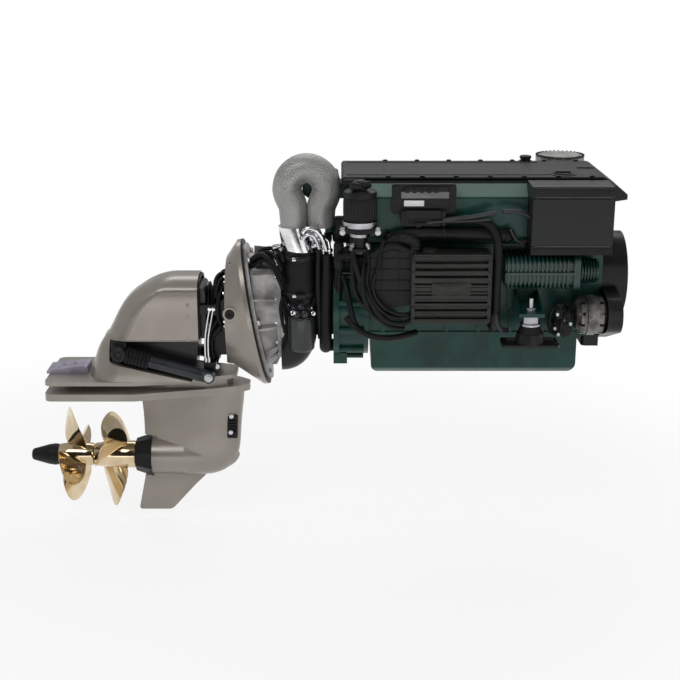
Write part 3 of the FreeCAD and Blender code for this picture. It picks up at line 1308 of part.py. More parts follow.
def fuel_hoses():
    """Two black fuel hoses from the filter's drain down to the block's side."""
    side = -block_half_width
    first = hose([(352, -276, 256), (352, -276, 216), (350, -282, 150), (366, -272, 90), (412, -234, 40),
                  (462, -196, 14), (494, -180, 2), (494, side, 2)], 10)
    second = hose([(392, -270, 256), (392, -270, 222), (382, -304, 176), (382, -320, 120), (410, -300, 44),
                   (470, -230, -20), (524, -186, -40), (524, side, -40)], 8)
    return Part.makeCompound([first, second])


def wiring_loom():
    """The grey loom: along from the control unit's plug, then down beside the cooler to the block."""
    z = unit_z[0]
    side = -block_half_width
    return hose([(unit_x[0] + 162, unit_face_y + 2, z - 20), (unit_x[0] + 215, unit_face_y + 2, z - 20),
                 (750, -270, z - 16), (800, -288, z - 24), (loom_x, loom_y, z - 70), (loom_x, loom_y, 220),
                 (loom_x, loom_y, 130), (loom_x, loom_y + 2, 56), (loom_x + 3, -276, 2), (loom_x + 4, -220, -28),
                 (loom_x + 4, -184, -32), (loom_x + 4, side, -32)], 15)


def heat_exchanger():
    """The port-side heat exchanger and header tank."""
    back = block_half_width + 8
    tank = plate([(head_half_width, 300), (head_half_width, 400), (270, 400), (330, 360), (330, 240), (270, 200),
                  (back, 200), (back, 300)], [0, 20, 30, 40, 40, 30, 20, 0], "yz", 900, 1186)
    neck = rod((breather_x, breather_y, 396), (0, 0, 1), 34, 22)
    return fuse([tank, neck])


def breather_filter():
    """The round breather filter on the header tank, with a bright top that shows above the cover."""
    return fuse([rod((breather_x, breather_y, 418), (0, 0, 1), breather_radius, 60),
                 rod((breather_x, breather_y, 478), (0, 0, 1), breather_radius - 14, 10)])


def exhaust_manifold():
    """The port-side exhaust manifold with six runners."""
    pipe = rod((430, 214, 300), (1, 0, 0), 42, 450)
    runners = []
    for k in range(6):
        x = 455 + 78 * k
        runners.append(box((x - 20, x + 20), (head_half_width, 214), (deck_z + 4, deck_z + 60)))
        runners.append(box((x - 20, x + 20), (180, 230), (300, deck_z + 60)))
    return fuse([pipe] + runners)


def turbocharger():
    """The port-side turbocharger: turbine and compressor casings on one axis, joined to the manifold."""
    x, y, z = turbo_x, turbo_y, turbo_z
    turbine = rod((x, y, z), (1, 0, 0), 56, 46)
    outlet = rod((x - 30, y, z), (1, 0, 0), 42, 32)
    inlet = rod((x + 20, y, 300), (1, 0, 0), 30, 50)
    riser = rod((x + 40, y, z), (0, 0, 1), 22, 92)
    middle = rod((x + 44, y, z), (1, 0, 0), 32, 44)
    compressor = rod((x + 86, y, z), (1, 0, 0), 54, 38)
    mouth = rod((x + 122, y, z), (1, 0, 0), 30, 24)
    return fuse([turbine, outlet, inlet, riser, middle, compressor, mouth])


def starter_motor():
    """The starter motor low on the port side, against the flywheel housing."""
    y = block_half_width + 50
    body = rod((block_aft_x + 16, y, -10), (1, 0, 0), 41, 180)
    solenoid = rod((block_aft_x + 30, y + 20, 52), (1, 0, 0), 24, 110)
    strap = box((block_aft_x + 40, block_aft_x + 130), (y, y + 24), (0, 52))
    foot = box((block_aft_x + 76, block_aft_x + 160), (block_half_width, y), (-34, 14))
    return fuse([body, solenoid, strap, foot])


models = {
    "transom_shield": transom_shield,
    "transom_seal": transom_seal,
    "shield_plugs": shield_plugs,
    "bell_housing": bell_housing,
    "steering_fork": steering_fork,
    "hydraulic_pipes": hydraulic_pipes,
    "bellows_front": bellows_front,
    "bellows_rear": bellows_rear,
    "helmet_cover": helmet_cover,
    "helmet_cap": helmet_cap,
    "leg_housing": leg_housing,
    "gearcase": gearcase,
    "water_grilles": water_grilles,
    "shaft_collar": shaft_collar,
    "anode_plate": anode_plate,
    "front_propeller": front_propeller,
    "rear_propeller": rear_propeller,
    "nose_cone": nose_cone,
    "trim_barrel_starboard": lambda: trim_barrel(-1),
    "trim_barrel_port": lambda: trim_barrel(1),
    "trim_rod_starboard": lambda: trim_rod(-1),
    "trim_rod_port": lambda: trim_rod(1),
    "flywheel_housing": flywheel_housing,
    "engine_block": engine_block,
    "oil_pan": oil_pan,
    "cylinder_head": cylinder_head,
    "intake_manifold": intake_manifold,
    "top_cover": top_cover,
    "oil_filler_cap": oil_filler_cap,
    "control_unit": control_unit,
    "charge_cooler": charge_cooler,
    "intake_ducts": intake_ducts,
    "supercharger": supercharger,
    "filter_box": filter_box,
    "drive_belt": drive_belt,
    "crank_pulley": crank_pulley,
    "crankshaft": crankshaft,
    "alternator": alternator,
    "alternator_pulley": alternator_pulley,
    "belt_guard": belt_guard,
    "mount_bracket_starboard": lambda: mount_bracket(-1),
    "mount_bracket_port": lambda: mount_bracket(1),
    "mount_studs": mount_studs,
    "mount_rubbers": mount_rubbers,
    "mount_foot_starboard": lambda: mount_foot(-1),
    "mount_foot_port": lambda: mount_foot(1),
    "exhaust_riser": exhaust_riser,
    "exhaust_pipes": exhaust_pipes,
    "exhaust_clamps": exhaust_clamps,
    "exhaust_hose": exhaust_hose,
    "exhaust_outlet": exhaust_outlet,
    "coolant_hose": coolant_hose,
    "fuel_filter": fuel_filter,
    "fuel_hoses": fuel_hoses,
    "wiring_loom": wiring_loom,
    "heat_exchanger": heat_exchanger,
    "breather_filter": breather_filter,
    "exhaust_manifold": exhaust_manifold,
    "turbocharger": turbocharger,
    "starter_motor": starter_motor,
}

os.makedirs("parts", exist_ok=True)
for name, make in models.items():
    shape = make()
    print(name, len(shape.Solids), "closed" if shape.isValid() else "open", round(shape.Volume / 1000, 1))
    shape.exportStep("parts/" + name + ".step")
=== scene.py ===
import bpy
import bmesh
import json
import math
import numpy as np
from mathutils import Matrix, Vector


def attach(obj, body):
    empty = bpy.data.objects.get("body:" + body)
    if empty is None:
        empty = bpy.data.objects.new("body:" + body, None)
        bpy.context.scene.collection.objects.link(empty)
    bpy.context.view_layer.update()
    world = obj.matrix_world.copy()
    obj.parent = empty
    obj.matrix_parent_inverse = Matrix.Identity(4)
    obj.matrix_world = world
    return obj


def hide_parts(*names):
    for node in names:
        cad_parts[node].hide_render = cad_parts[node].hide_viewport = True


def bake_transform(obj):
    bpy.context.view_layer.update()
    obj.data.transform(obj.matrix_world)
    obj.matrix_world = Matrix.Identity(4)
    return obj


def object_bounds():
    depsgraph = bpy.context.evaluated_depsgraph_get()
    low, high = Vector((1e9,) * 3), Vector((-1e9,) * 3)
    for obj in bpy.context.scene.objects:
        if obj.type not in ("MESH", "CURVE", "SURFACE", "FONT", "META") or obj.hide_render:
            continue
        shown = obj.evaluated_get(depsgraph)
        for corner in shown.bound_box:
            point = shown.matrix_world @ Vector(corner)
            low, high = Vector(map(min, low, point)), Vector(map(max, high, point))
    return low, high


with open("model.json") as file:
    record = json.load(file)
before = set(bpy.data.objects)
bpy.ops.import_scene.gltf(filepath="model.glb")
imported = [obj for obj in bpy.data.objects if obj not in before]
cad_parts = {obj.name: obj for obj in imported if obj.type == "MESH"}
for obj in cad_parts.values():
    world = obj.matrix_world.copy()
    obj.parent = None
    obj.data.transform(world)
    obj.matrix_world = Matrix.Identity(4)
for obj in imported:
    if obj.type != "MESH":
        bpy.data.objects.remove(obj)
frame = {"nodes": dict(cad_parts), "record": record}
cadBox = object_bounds()
print("frame loaded:", len(frame["nodes"]), "nodes")


# shader maths: a socket that takes part in Python expressions

class Field:
    def __init__(self, paint, socket):
        self.paint, self.socket = paint, socket

    def __add__(self, other):
        return self.paint.maths("ADD", self, other)

    def __radd__(self, other):
        return self.paint.maths("ADD", other, self)

    def __sub__(self, other):
        return self.paint.maths("SUBTRACT", self, other)

    def __rsub__(self, other):
        return self.paint.maths("SUBTRACT", other, self)

    def __mul__(self, other):
        return self.paint.maths("MULTIPLY", self, other)

    def __rmul__(self, other):
        return self.paint.maths("MULTIPLY", other, self)

    def __pow__(self, other):
        return self.paint.maths("POWER", self, other)

    def __gt__(self, other):
        return self.paint.maths("GREATER_THAN", self, other)

    def __lt__(self, other):
        return self.paint.maths("LESS_THAN", self, other)

    def __abs__(self):
        return self.paint.maths("ABSOLUTE", self)

    def sine(self):
        return self.paint.maths("SINE", self)

    def most(self, other):
        return self.paint.maths("MAXIMUM", self, other)

    # 0 below low, 1 above high, smooth between
    def step(self, low, high):
        return self.paint.node("MapRange", {"interpolation_type": "SMOOTHSTEP"},
                               {"Value": self, "From Min": low, "From Max": high})


class Paint:
    def __init__(self, name):
        self.material = bpy.data.materials.new(name)
        self.material.use_nodes = True
        self.tree = self.material.node_tree
        self.shader = self.tree.nodes["Principled BSDF"]
        self.place = self.node("TexCoord", {}, {}, "Object")

    # adds any node: settings come first, then values or links of its sockets
    def node(self, kind, settings, sockets, output=0):
        made = self.tree.nodes.new("ShaderNode" + kind)
        for key, value in settings.items():
            setattr(made, key, value)
        for key, value in sockets.items():
            self.feed(made.inputs[key], value)
        return Field(self, made.outputs[output])

    def feed(self, socket, value):
        if isinstance(value, Field):
            self.tree.links.new(value.socket, socket)
        elif socket.type == "RGBA":
            socket.default_value = (*value, 1)
        else:
            socket.default_value = value

    def maths(self, operation, first, second=None):
        sockets = {0: first} if second is None else {0: first, 1: second}
        return self.node("Math", {"operation": operation}, sockets)

    def mix(self, factor, first, second):
        return self.node("Mix", {"data_type": "RGBA"}, {"Factor": factor, 6: first, 7: second}, 2)

    def axis(self, index):
        return self.node("SeparateXYZ", {}, {"Vector": self.place}, index)

    def noise(self, scale, detail):
        return self.node("TexNoise", {}, {"Vector": self.place, "Scale": scale, "Detail": detail}, 0)

    def bump(self, height, distance, strength=1.0):
        normal = self.node("Bump", {}, {"Height": height, "Distance": distance, "Strength": strength})
        self.feed(self.shader.inputs["Normal"], normal)

    def dress(self, **values):
        for key, value in values.items():
            self.feed(self.shader.inputs[key.replace("_", " ")], value)
        return self


# one dictionary for each finish: two colours that the surface varies between, and its surface
finishes = {
    "taupePaint": dict(light=(0.36, 0.325, 0.285), dark=(0.285, 0.255, 0.222), metallic=0.35,
                       rough=(0.26, 0.38), patch=5, grain=900, depth=0.00006, coat=0.3),
    "greenPaint": dict(light=(0.010, 0.062, 0.047), dark=(0.004, 0.030, 0.023), metallic=0.1,
                       rough=(0.30, 0.46), patch=9, grain=420, depth=0.00022, coat=0.12, mirror=0.28),
    "blackPaint": dict(light=(0.012, 0.0123, 0.0135), dark=(0.005, 0.005, 0.0058), metallic=0.0,
                       rough=(0.30, 0.46), patch=12, grain=520, depth=0.00014, coat=0.05, mirror=0.25),
    "blackPlastic": dict(light=(0.013, 0.0133, 0.0145), dark=(0.006, 0.006, 0.007), metallic=0.0,
                         rough=(0.38, 0.52), patch=10, grain=1500, depth=0.00010, coat=0.0, mirror=0.22),
    "blackRubber": dict(light=(0.0095, 0.0095, 0.0102), dark=(0.0045, 0.0045, 0.005), metallic=0.0,
                        rough=(0.40, 0.58), patch=25, grain=1100, depth=0.00012, coat=0.0, mirror=0.2),
    "castAluminium": dict(light=(0.42, 0.41, 0.395), dark=(0.20, 0.195, 0.19), metallic=0.6,
                          rough=(0.34, 0.55), patch=22, grain=650, depth=0.00030, coat=0.0),
    "polishedSteel": dict(light=(0.80, 0.80, 0.81), dark=(0.55, 0.55, 0.57), metallic=1.0, rough=(0.10, 0.22),
                          patch=14, grain=900, depth=0.00003, coat=0.0),
    "machinedSteel": dict(light=(0.52, 0.52, 0.53), dark=(0.32, 0.32, 0.34), metallic=1.0, rough=(0.25, 0.4),
                          patch=30, grain=1400, depth=0.00006, coat=0.0),
    "bronze": dict(light=(0.80, 0.67, 0.47), dark=(0.52, 0.40, 0.24), metallic=1.0, rough=(0.06, 0.16),
                   patch=8, grain=700, depth=0.00003, coat=0.0),
    "zinc": dict(light=(0.44, 0.42, 0.50), dark=(0.30, 0.28, 0.37), metallic=0.5, rough=(0.35, 0.5),
                 patch=30, grain=500, depth=0.00015, coat=0.0),
}


# wide patches, a fine grain, and the colour that drifts between dark and light with both
def drift(paint, look):
    patches = paint.noise(look["patch"], 4).step(0.35, 0.65)
    grain = paint.noise(look["grain"], 2)
    return patches, grain, paint.mix(patches * 0.8 + grain * 0.2, look["dark"], look["light"])


# colour and gloss drift in wide patches, and a fine grain lifts the surface
def plainPaint(name, look):
    paint = Paint(name)
    patches, grain, colour = drift(paint, look)
    low, high = look["rough"]
    paint.dress(Base_Color=colour,
                Roughness=low + (high - low) * (patches * 0.5 + grain * 0.5), Metallic=look["metallic"],
                Coat_Weight=look["coat"], Coat_Roughness=0.15, Specular_IOR_Level=look.get("mirror", 0.5))
    paint.bump(grain, look["depth"])
    return paint


# the upper leg: taupe outside; black on the gear housing under the cover, which is its own paint, and black
# in the recess beside the waist, which is painted shade
def legPaint(look, shade):
    paint = Paint("legPaint")
    _, grain, colour = drift(paint, look)
    # painted shade: the mask blacks out the recess beside the waist as well as the black gear housing
    housingBlackAndRecessShade = abs(paint.axis(1)) < shade["half"]
    housingBlackAndRecessShade = housingBlackAndRecessShade * (paint.axis(2) > shade["bottom"]) * (paint.axis(0) > shade["aft"])
    paint.dress(Base_Color=paint.mix(housingBlackAndRecessShade, colour, shade["colour"]),
                Roughness=0.30 + grain * 0.1 + housingBlackAndRecessShade * 0.15,
                Metallic=look["metallic"], Coat_Weight=look["coat"], Coat_Roughness=0.15)
    paint.bump(grain, look["depth"])
    return paint


paints = {name: plainPaint(name, look) for name, look in finishes.items()}
nodePaint = {"leg_housing": "legPaint", "steering_fork": "blackPaint", "charge_cooler": "coolerPaint",
             "trim_barrel_starboard": "slatePaint", "trim_barrel_port": "slatePaint",
             "breather_filter": "castAluminium",
             "supercharger": "glossGreen", "oil_pan": "panPaint", "intake_manifold": "manifoldPaint",
             "alternator": "darkAluminium"}
for name, look in {
    "coolerPaint": dict(light=(0.030, 0.029, 0.026), dark=(0.014, 0.0135, 0.0125), metallic=0.1,
                        rough=(0.34, 0.5), patch=14, grain=700, depth=0.00012, coat=0.05, mirror=0.3),
    "glossGreen": dict(light=(0.010, 0.066, 0.050), dark=(0.004, 0.032, 0.025), metallic=0.0,
                       rough=(0.24, 0.36), patch=9, grain=420, depth=0.0002, coat=0.12, mirror=0.35),
    "darkAluminium": dict(light=(0.24, 0.23, 0.215), dark=(0.07, 0.068, 0.064), metallic=0.8,
                          rough=(0.26, 0.42), patch=26, grain=600, depth=0.0003, coat=0.0),
    "canisterPaint": dict(light=(0.036, 0.043, 0.039), dark=(0.022, 0.027, 0.024), metallic=0.1,
                          rough=(0.26, 0.36), patch=9, grain=600, depth=0.0001, coat=0.2, mirror=0.4),
    "redPlastic": dict(light=(0.42, 0.03, 0.035), dark=(0.30, 0.02, 0.025), metallic=0.0, rough=(0.35, 0.5),
                       patch=20, grain=900, depth=0.0001, coat=0.1),
    "slatePaint": dict(light=(0.030, 0.033, 0.040), dark=(0.018, 0.020, 0.025), metallic=0.2,
                       rough=(0.28, 0.42), patch=14, grain=700, depth=0.00008, coat=0.1, mirror=0.4)}.items():
    paints[name] = plainPaint(name, look)


# green with a paler zone of painted highlight, which fades in from low to high along each of its axes
def sheenZonePaint(name, look, sheenZone):
    paint = Paint(name)
    _, grain, colour = drift(paint, look)
    # painted highlight: how much of the paler colour each point takes
    paintedSheen = 1.0
    for axis, low, high in sheenZone["fades"]:
        fade = paint.axis(axis).step(min(low, high), max(low, high))
        paintedSheen = (fade if low < high else 1 - fade) * paintedSheen
    paint.dress(Base_Color=paint.mix(paintedSheen, colour, sheenZone["colour"]), Roughness=0.32 + grain * 0.12,
                Metallic=look["metallic"],
                Coat_Weight=look["coat"], Coat_Roughness=0.15, Specular_IOR_Level=look["mirror"])
    paint.bump(grain, look["depth"])
    return paint


# painted highlight low on the oil pan, and painted reflection of the bright studio on the manifold's upper
# part
sheenZones = {"panPaint": dict(fades=[(2, -0.192, -0.203)], colour=(0.20, 0.26, 0.23)),
         "manifoldPaint": dict(fades=[(2, 0.4260, 0.4280)], colour=(0.145, 0.22, 0.19))}
for name, sheenZone in sheenZones.items():
    paints[name] = sheenZonePaint(name, finishes["greenPaint"], sheenZone)
# the black inside the cover's line: the gear housing's own black paint, and painted shade in the recess
# beside the waist
paints["legPaint"] = legPaint(finishes["taupePaint"], dict(half=0.1105, bottom=-0.2503, aft=-0.505,
                                                           colour=(0.012, 0.012, 0.013)))
slotPaint = {"taupe_paint": "taupePaint", "green_paint": "greenPaint", "black_paint": "blackPaint",
             "black_plastic": "blackPlastic", "black_rubber": "blackRubber",
             "cast_aluminium": "castAluminium",
             "polished_steel": "polishedSteel", "steel": "machinedSteel", "bronze": "bronze", "zinc": "zinc",
             "woven_lagging": "polishedSteel"}


def nodeObjects(node):
    return [o for o in bpy.data.objects if o.type == "MESH" and o.name == node]


slotOf = {part["node"]: part["material_slot"] for part in frame["record"]["subparts"]}
for node, slot in slotOf.items():
    for item in nodeObjects(node):
        item.data.materials.clear()
        item.data.materials.append(paints[nodePaint.get(node, slotPaint[slot])].material)
print("finishes ready")


# surfaces worked out on grids

# a grid of points (rows, columns, 3) as vertices and quads; closed grids join their last line to their first,
# and a capped end gets one pole at the mean of its ring
def gridMesh(points, closeRows=False, closeColumns=False, caps=(False, False)):
    rows, columns = points.shape[:2]
    index = np.arange(rows * columns).reshape(rows, columns)
    if closeRows:
        index = np.vstack([index, index[:1]])
    if closeColumns:
        index = np.hstack([index, index[:, :1]])
    quads = np.stack([index[:-1, :-1], index[:-1, 1:], index[1:, 1:], index[1:, :-1]], -1).reshape(-1, 4)
    verts = points.reshape(-1, 3)
    faces = [quads]
    for wanted, row in zip(caps, (0, rows - 1)):
        if wanted:
            pole = len(verts)
            verts = np.vstack([verts, points[row].mean(0)])
            ring = index[row]
            first, second = (ring[1:], ring[:-1]) if row == 0 else (ring[:-1], ring[1:])
            faces.append(np.stack([first, second, np.full(len(first), pole)], -1))
    return verts, faces


# many meshes as one object; each face list may hold quads and triangles
def addPiece(name, meshes, body, paint, smooth=35, replaces=(), uvs=None):
    verts, faces, start = [], [], 0
    for points, groups in meshes:
        verts.append(points)
        faces += [group + start for group in groups]
        start += len(points)
    verts = np.vstack(verts)
    loops = np.concatenate([group.reshape(-1) for group in faces])
    sizes = np.concatenate([np.full(len(group), group.shape[1]) for group in faces])
    mesh = bpy.data.meshes.new(name)
    mesh.vertices.add(len(verts))
    mesh.vertices.foreach_set("co", (verts / 1000).reshape(-1).astype(np.float32))
    mesh.loops.add(len(loops))
    mesh.loops.foreach_set("vertex_index", loops.astype(np.int32))
    mesh.polygons.add(len(sizes))
    mesh.polygons.foreach_set("loop_start", np.concatenate([[0], np.cumsum(sizes)[:-1]]).astype(np.int32))
    mesh.polygons.foreach_set("loop_total", sizes.astype(np.int32))
    mesh.update(calc_edges=True)
    if uvs is not None:
        layer = mesh.uv_layers.new(name="along")
        layer.data.foreach_set("uv", uvs[loops].reshape(-1).astype(np.float32))
    mend = bmesh.new()
    mend.from_mesh(mesh)
    bmesh.ops.recalc_face_normals(mend, faces=mend.faces)
    mend.to_mesh(mesh)
    mend.free()
    mesh.shade_smooth()
    if smooth:
        mesh.set_sharp_from_angle(angle=math.radians(smooth))
    mesh.materials.append(paints[paint].material)
    item = bpy.data.objects.new(name, mesh)
    bpy.context.collection.objects.link(item)
    if body:
        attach(item, body)
    if replaces:
        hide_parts(*replaces)
    return item


# a smooth line through the given points: cubic pieces whose slopes come from the neighbours
def smoothLine(points, count):
    points = np.asarray(points, float)
    padded = np.vstack([2 * points[0] - points[1], points, 2 * points[-1] - points[-2]])
    spans = len(points) - 1
    where = np.linspace(0, spans, count)
    k = np.minimum(where.astype(int), spans - 1)
    t = (where - k)[:, None]
    a, b, c, d = padded[k], padded[k + 1], padded[k + 2], padded[k + 3]
    return 0.5 * (2 * b + (c - a) * t + (2 * a - 5 * b + 4 * c - d) * t ** 2
                  + (3 * b - a - 3 * c + d) * t ** 3)


# two directions across a line, the first as square to "up" as it can be
def lineAxes(line, up):
    along = np.gradient(line, axis=0)
    along /= np.linalg.norm(along, axis=1, keepdims=True)
    first = np.cross(along, np.asarray(up, float))
    first /= np.maximum(np.linalg.norm(first, axis=1, keepdims=True), 1e-6)
    return first, np.cross(along, first)


# a round tube: centre line + radius * (cos a * first + sin a * second); radius may differ along the line
def tube(line, radius, sides=14, up=(0.31, 0.52, 0.79), caps=(True, True)):
    line = np.asarray(line, float)
    first, second = lineAxes(line, up)
    turn = np.linspace(0, 2 * math.pi, sides, endpoint=False)
    radius = np.broadcast_to(radius, len(line))[:, None, None]
    ring = first[:, None] * np.cos(turn)[None, :, None] + second[:, None] * np.sin(turn)[None, :, None]
    return gridMesh(line[:, None] + radius * ring, closeColumns=True, caps=caps)


# a corrugated conduit: the radius goes up and down along the line
def conduit(points, radius, ridges, sides=12, depth=0.12):
    line = smoothLine(points, ridges * 4 + 1)
    k = np.arange(len(line))
    wave = radius * (1 - depth * (k % 4 == 0) - depth * 0.5 * (k % 2 == 1))
    return tube(line, wave, sides)


# a turned form: profile of (distance along the axis, radius), spun round it
def turnedForm(profile, centre, axis, sides=32, caps=(True, True)):
    axis = np.asarray(axis, float) / np.linalg.norm(axis)
    line = np.asarray(centre, float) + np.asarray(profile, float)[:, :1] * axis
    side = np.cross(axis, (0.0, 0.0, 1.0) if abs(axis[2]) < 0.9 else (1.0, 0.0, 0.0))
    side /= np.linalg.norm(side)
    other = np.cross(axis, side)
    turn = np.linspace(0, 2 * math.pi, sides, endpoint=False)
    ring = np.cos(turn)[:, None] * side + np.sin(turn)[:, None] * other
    return gridMesh(line[:, None] + np.asarray(profile, float)[:, 1][:, None, None] * ring[None],
                    closeColumns=True, caps=caps)


# a turned form whose profile runs round a wall and closes on itself
def turnedRing(profile, centre, axis, sides):
    verts = turnedForm(profile, centre, axis, sides, (False, False))[0]
    return gridMesh(verts.reshape(len(profile), sides, 3), closeRows=True, closeColumns=True)


# hex-headed bolts, one per place: a washer, six flats (radius = r cos30 / cos(a mod 60 - 30)), a chamfer;
# with a socket the head is round and hollow
def bolts(places, axis, radius, height, washer=True, socket=False):
    axis = np.asarray(axis, float) / np.linalg.norm(axis)
    side = np.cross(axis, (0.0, 0.0, 1.0) if abs(axis[2]) < 0.9 else (1.0, 0.0, 0.0))
    side /= np.linalg.norm(side)
    other = np.cross(axis, side)
    turn = np.linspace(0, 2 * math.pi, 24, endpoint=False)
    flat = np.ones(24) if socket else math.cos(math.pi / 6) / np.cos(turn % (math.pi / 3) - math.pi / 6)
    rim = 1.35 if washer else 1.0
    rows = [(0.0, rim, 0), (0.18, rim, 0), (0.18, 1.0, 1), (0.85, 1.0, 1), (1.0, 0.84, 0)]
    if socket:
        rows += [(1.0, 0.5, 0), (0.5, 0.5, 0)]
    rise = np.array([row[0] for row in rows])
    size = np.array([radius * row[1] * (flat if row[2] else np.ones(24)) for row in rows])
    ring = np.cos(turn)[:, None] * side + np.sin(turn)[:, None] * other
    shape = rise[:, None, None] * height * axis + size[:, :, None] * ring[None]
    one, faces = gridMesh(shape, closeColumns=True, caps=(True, True))
    places = np.asarray(places, float).reshape(-1, 3)
    verts = (places[:, None] + one[None]).reshape(-1, 3)
    shift = (np.arange(len(places)) * len(one))[:, None, None]
    return verts, [(group[None] + shift).reshape(-1, group.shape[1]) for group in faces]


# a block with rounded edges: an outline with round corners, drawn in over quarter circles at both ends.
# axis is the direction it is extruded along (0, 1 or 2)
def roundBlock(low, high, radius, axis=1, corner=None, steps=3):
    low, high = np.minimum(low, high).astype(float), np.maximum(low, high).astype(float)
    a, b = [k for k in range(3) if k != axis]
    corner = min(corner or radius * 2, (high[a] - low[a]) / 2 - 1e-5, (high[b] - low[b]) / 2 - 1e-5)
    radius = min(radius, corner, (high[axis] - low[axis]) / 2)
    turn = np.linspace(0, math.pi / 2, 5)
    arc = np.concatenate([turn + q * math.pi / 2 for q in range(4)])
    sx = np.sign(np.cos(np.repeat(np.arange(4), 5) * math.pi / 2 + math.pi / 4))
    sy = np.sign(np.sin(np.repeat(np.arange(4), 5) * math.pi / 2 + math.pi / 4))
    midA, midB = (low[a] + high[a]) / 2, (low[b] + high[b]) / 2
    halfA, halfB = (high[a] - low[a]) / 2, (high[b] - low[b]) / 2
    fall = np.linspace(0, math.pi / 2, steps)
    inset = np.concatenate([radius * (1 - np.sin(fall)), radius * (1 - np.cos(fall))])
    level = np.concatenate([low[axis] + radius * (1 - np.cos(fall)),
                            high[axis] - radius * (1 - np.sin(fall))])
    points = np.zeros((len(inset), 20, 3))
    reach = corner - inset[:, None]
    points[:, :, a] = midA + sx * (halfA - corner) + np.cos(arc) * reach
    points[:, :, b] = midB + sy * (halfB - corner) + np.sin(arc) * reach
    points[:, :, axis] = level[:, None]
    if axis == 1:
        points = points[::-1]
    return gridMesh(points, closeColumns=True, caps=(True, True))


# camera, floor, lights

cameraLook = dict(target=(0.308, 0.0, -0.1395), elevation=17.2, distance=4.68, lens=68.8)


def addCamera(look):
    tilt = math.radians(look["elevation"])
    x, y, z = look["target"]
    data = bpy.data.cameras.new("camera")
    data.lens, data.sensor_width = look["lens"], 36
    data.clip_end = 200
    camera = bpy.data.objects.new("camera", data)
    camera.location = (x, y - look["distance"] * math.cos(tilt), z + look["distance"] * math.sin(tilt))
    camera.rotation_euler = (math.pi / 2 - tilt, 0, 0)
    bpy.context.collection.objects.link(camera)
    bpy.context.scene.camera = camera


lamps = {
    "key": dict(place=(-1.6, -3.2, 3.4), size=(2.6, 1.6), power=58),
    "fill": dict(place=(2.6, -3.6, 1.2), size=(2.4, 2.4), power=24),
    "low": dict(place=(0.2, -3.4, -0.55), size=(3.6, 0.5), power=9),
    "back": dict(place=(0.4, 2.6, 2.8), size=(3.6, 1.4), power=40),
}


lampAim = (0.3, 0.0, -0.1)


def addLamp(name, look):
    data = bpy.data.lights.new(name, "AREA")
    data.shape, data.energy = "RECTANGLE", look["power"]
    data.size, data.size_y = look["size"]
    lamp = bpy.data.objects.new(name, data)
    place = np.array(look["place"])
    aim = np.array(lampAim) - place
    lamp.location = place
    lamp.rotation_euler = (math.atan2(math.hypot(aim[0], aim[1]), -aim[2]), 0, math.atan2(-aim[0], aim[1]))
    bpy.context.collection.objects.link(lamp)


# near the object the floor takes its shadows, and far from it it's the white of the background
floorLook = dict(size=30.0, drop=0.03, colour=(0.93, 0.93, 0.93), white=0.84, near=1.2, far=6.0)


def addFloor(look):
    size, level = look["size"], cadBox[0][2] - look["drop"]
    mesh = bpy.data.meshes.new("floor")
    corners = [(-size, -size, level), (size, -size, level), (size, size, level), (-size, size, level)]
    mesh.from_pydata(corners, [], [(0, 1, 2, 3)])
    floor = bpy.data.objects.new("floor", mesh)
    bpy.context.collection.objects.link(floor)
    paint = Paint("floorPaint")
    paint.dress(Base_Color=look["colour"], Roughness=0.9)
    straight = paint.node("LightPath", {}, {}, "Is Camera Ray")
    seen = straight.most(paint.node("LightPath", {}, {}, "Is Glossy Ray"))
    white = paint.node("Emission", {}, {"Color": (1, 1, 1), "Strength": 1.0})
    shaded = Field(paint, paint.shader.outputs[0])
    away = (paint.axis(0) ** 2 + paint.axis(1) ** 2).step(look["near"], look["far"])
    share = look["white"] + away * (1 - look["white"])
    both = paint.node("MixShader", {}, {0: seen * share, 1: shaded, 2: white})
    output = paint.tree.nodes["Material Output"]
    paint.tree.links.new(both.socket, output.inputs["Surface"])
    mesh.materials.append(paint.material)


# the studio: bright all round but for a dark wall on the starboard side, which metal mirrors as a dark band
studioLook = dict(side=(-0.75, -0.35), rise=(0.62, 0.86), bright=0.42, dark=0.03)


def addWorld(look):
    world = bpy.data.worlds.new("studio")
    bpy.context.scene.world = world
    world.use_nodes = True
    tree = world.node_tree
    place = tree.nodes.new("ShaderNodeTexCoord")
    parts = tree.nodes.new("ShaderNodeSeparateXYZ")
    tree.links.new(place.outputs["Generated"], parts.inputs[0])
    masks = []
    for axis, (low, high) in ((1, look["side"]), (2, look["rise"])):
        mask = tree.nodes.new("ShaderNodeMapRange")
        mask.interpolation_type = "SMOOTHSTEP"
        mask.inputs["From Min"].default_value, mask.inputs["From Max"].default_value = low, high
        mask.inputs["To Min"].default_value, mask.inputs["To Max"].default_value = 1.0, 0.0
        tree.links.new(parts.outputs[axis], mask.inputs["Value"])
        masks.append(mask)
    wall = tree.nodes.new("ShaderNodeMath")
    wall.operation = "MULTIPLY"
    tree.links.new(masks[0].outputs[0], wall.inputs[0])
    tree.links.new(masks[1].outputs[0], wall.inputs[1])
    light = tree.nodes.new("ShaderNodeMapRange")
    light.inputs["To Min"].default_value, light.inputs["To Max"].default_value = look["bright"], look["dark"]
    tree.links.new(wall.outputs[0], light.inputs["Value"])
    ray = tree.nodes.new("ShaderNodeLightPath")
    amount = tree.nodes.new("ShaderNodeMapRange")
    tree.links.new(light.outputs[0], amount.inputs["To Min"])
    amount.inputs["To Max"].default_value = 1.0
    tree.links.new(ray.outputs["Is Camera Ray"], amount.inputs["Value"])
    tree.links.new(amount.outputs[0], tree.nodes["Background"].inputs["Strength"])
    tree.nodes["Background"].inputs["Color"].default_value = (1, 1, 1, 1)


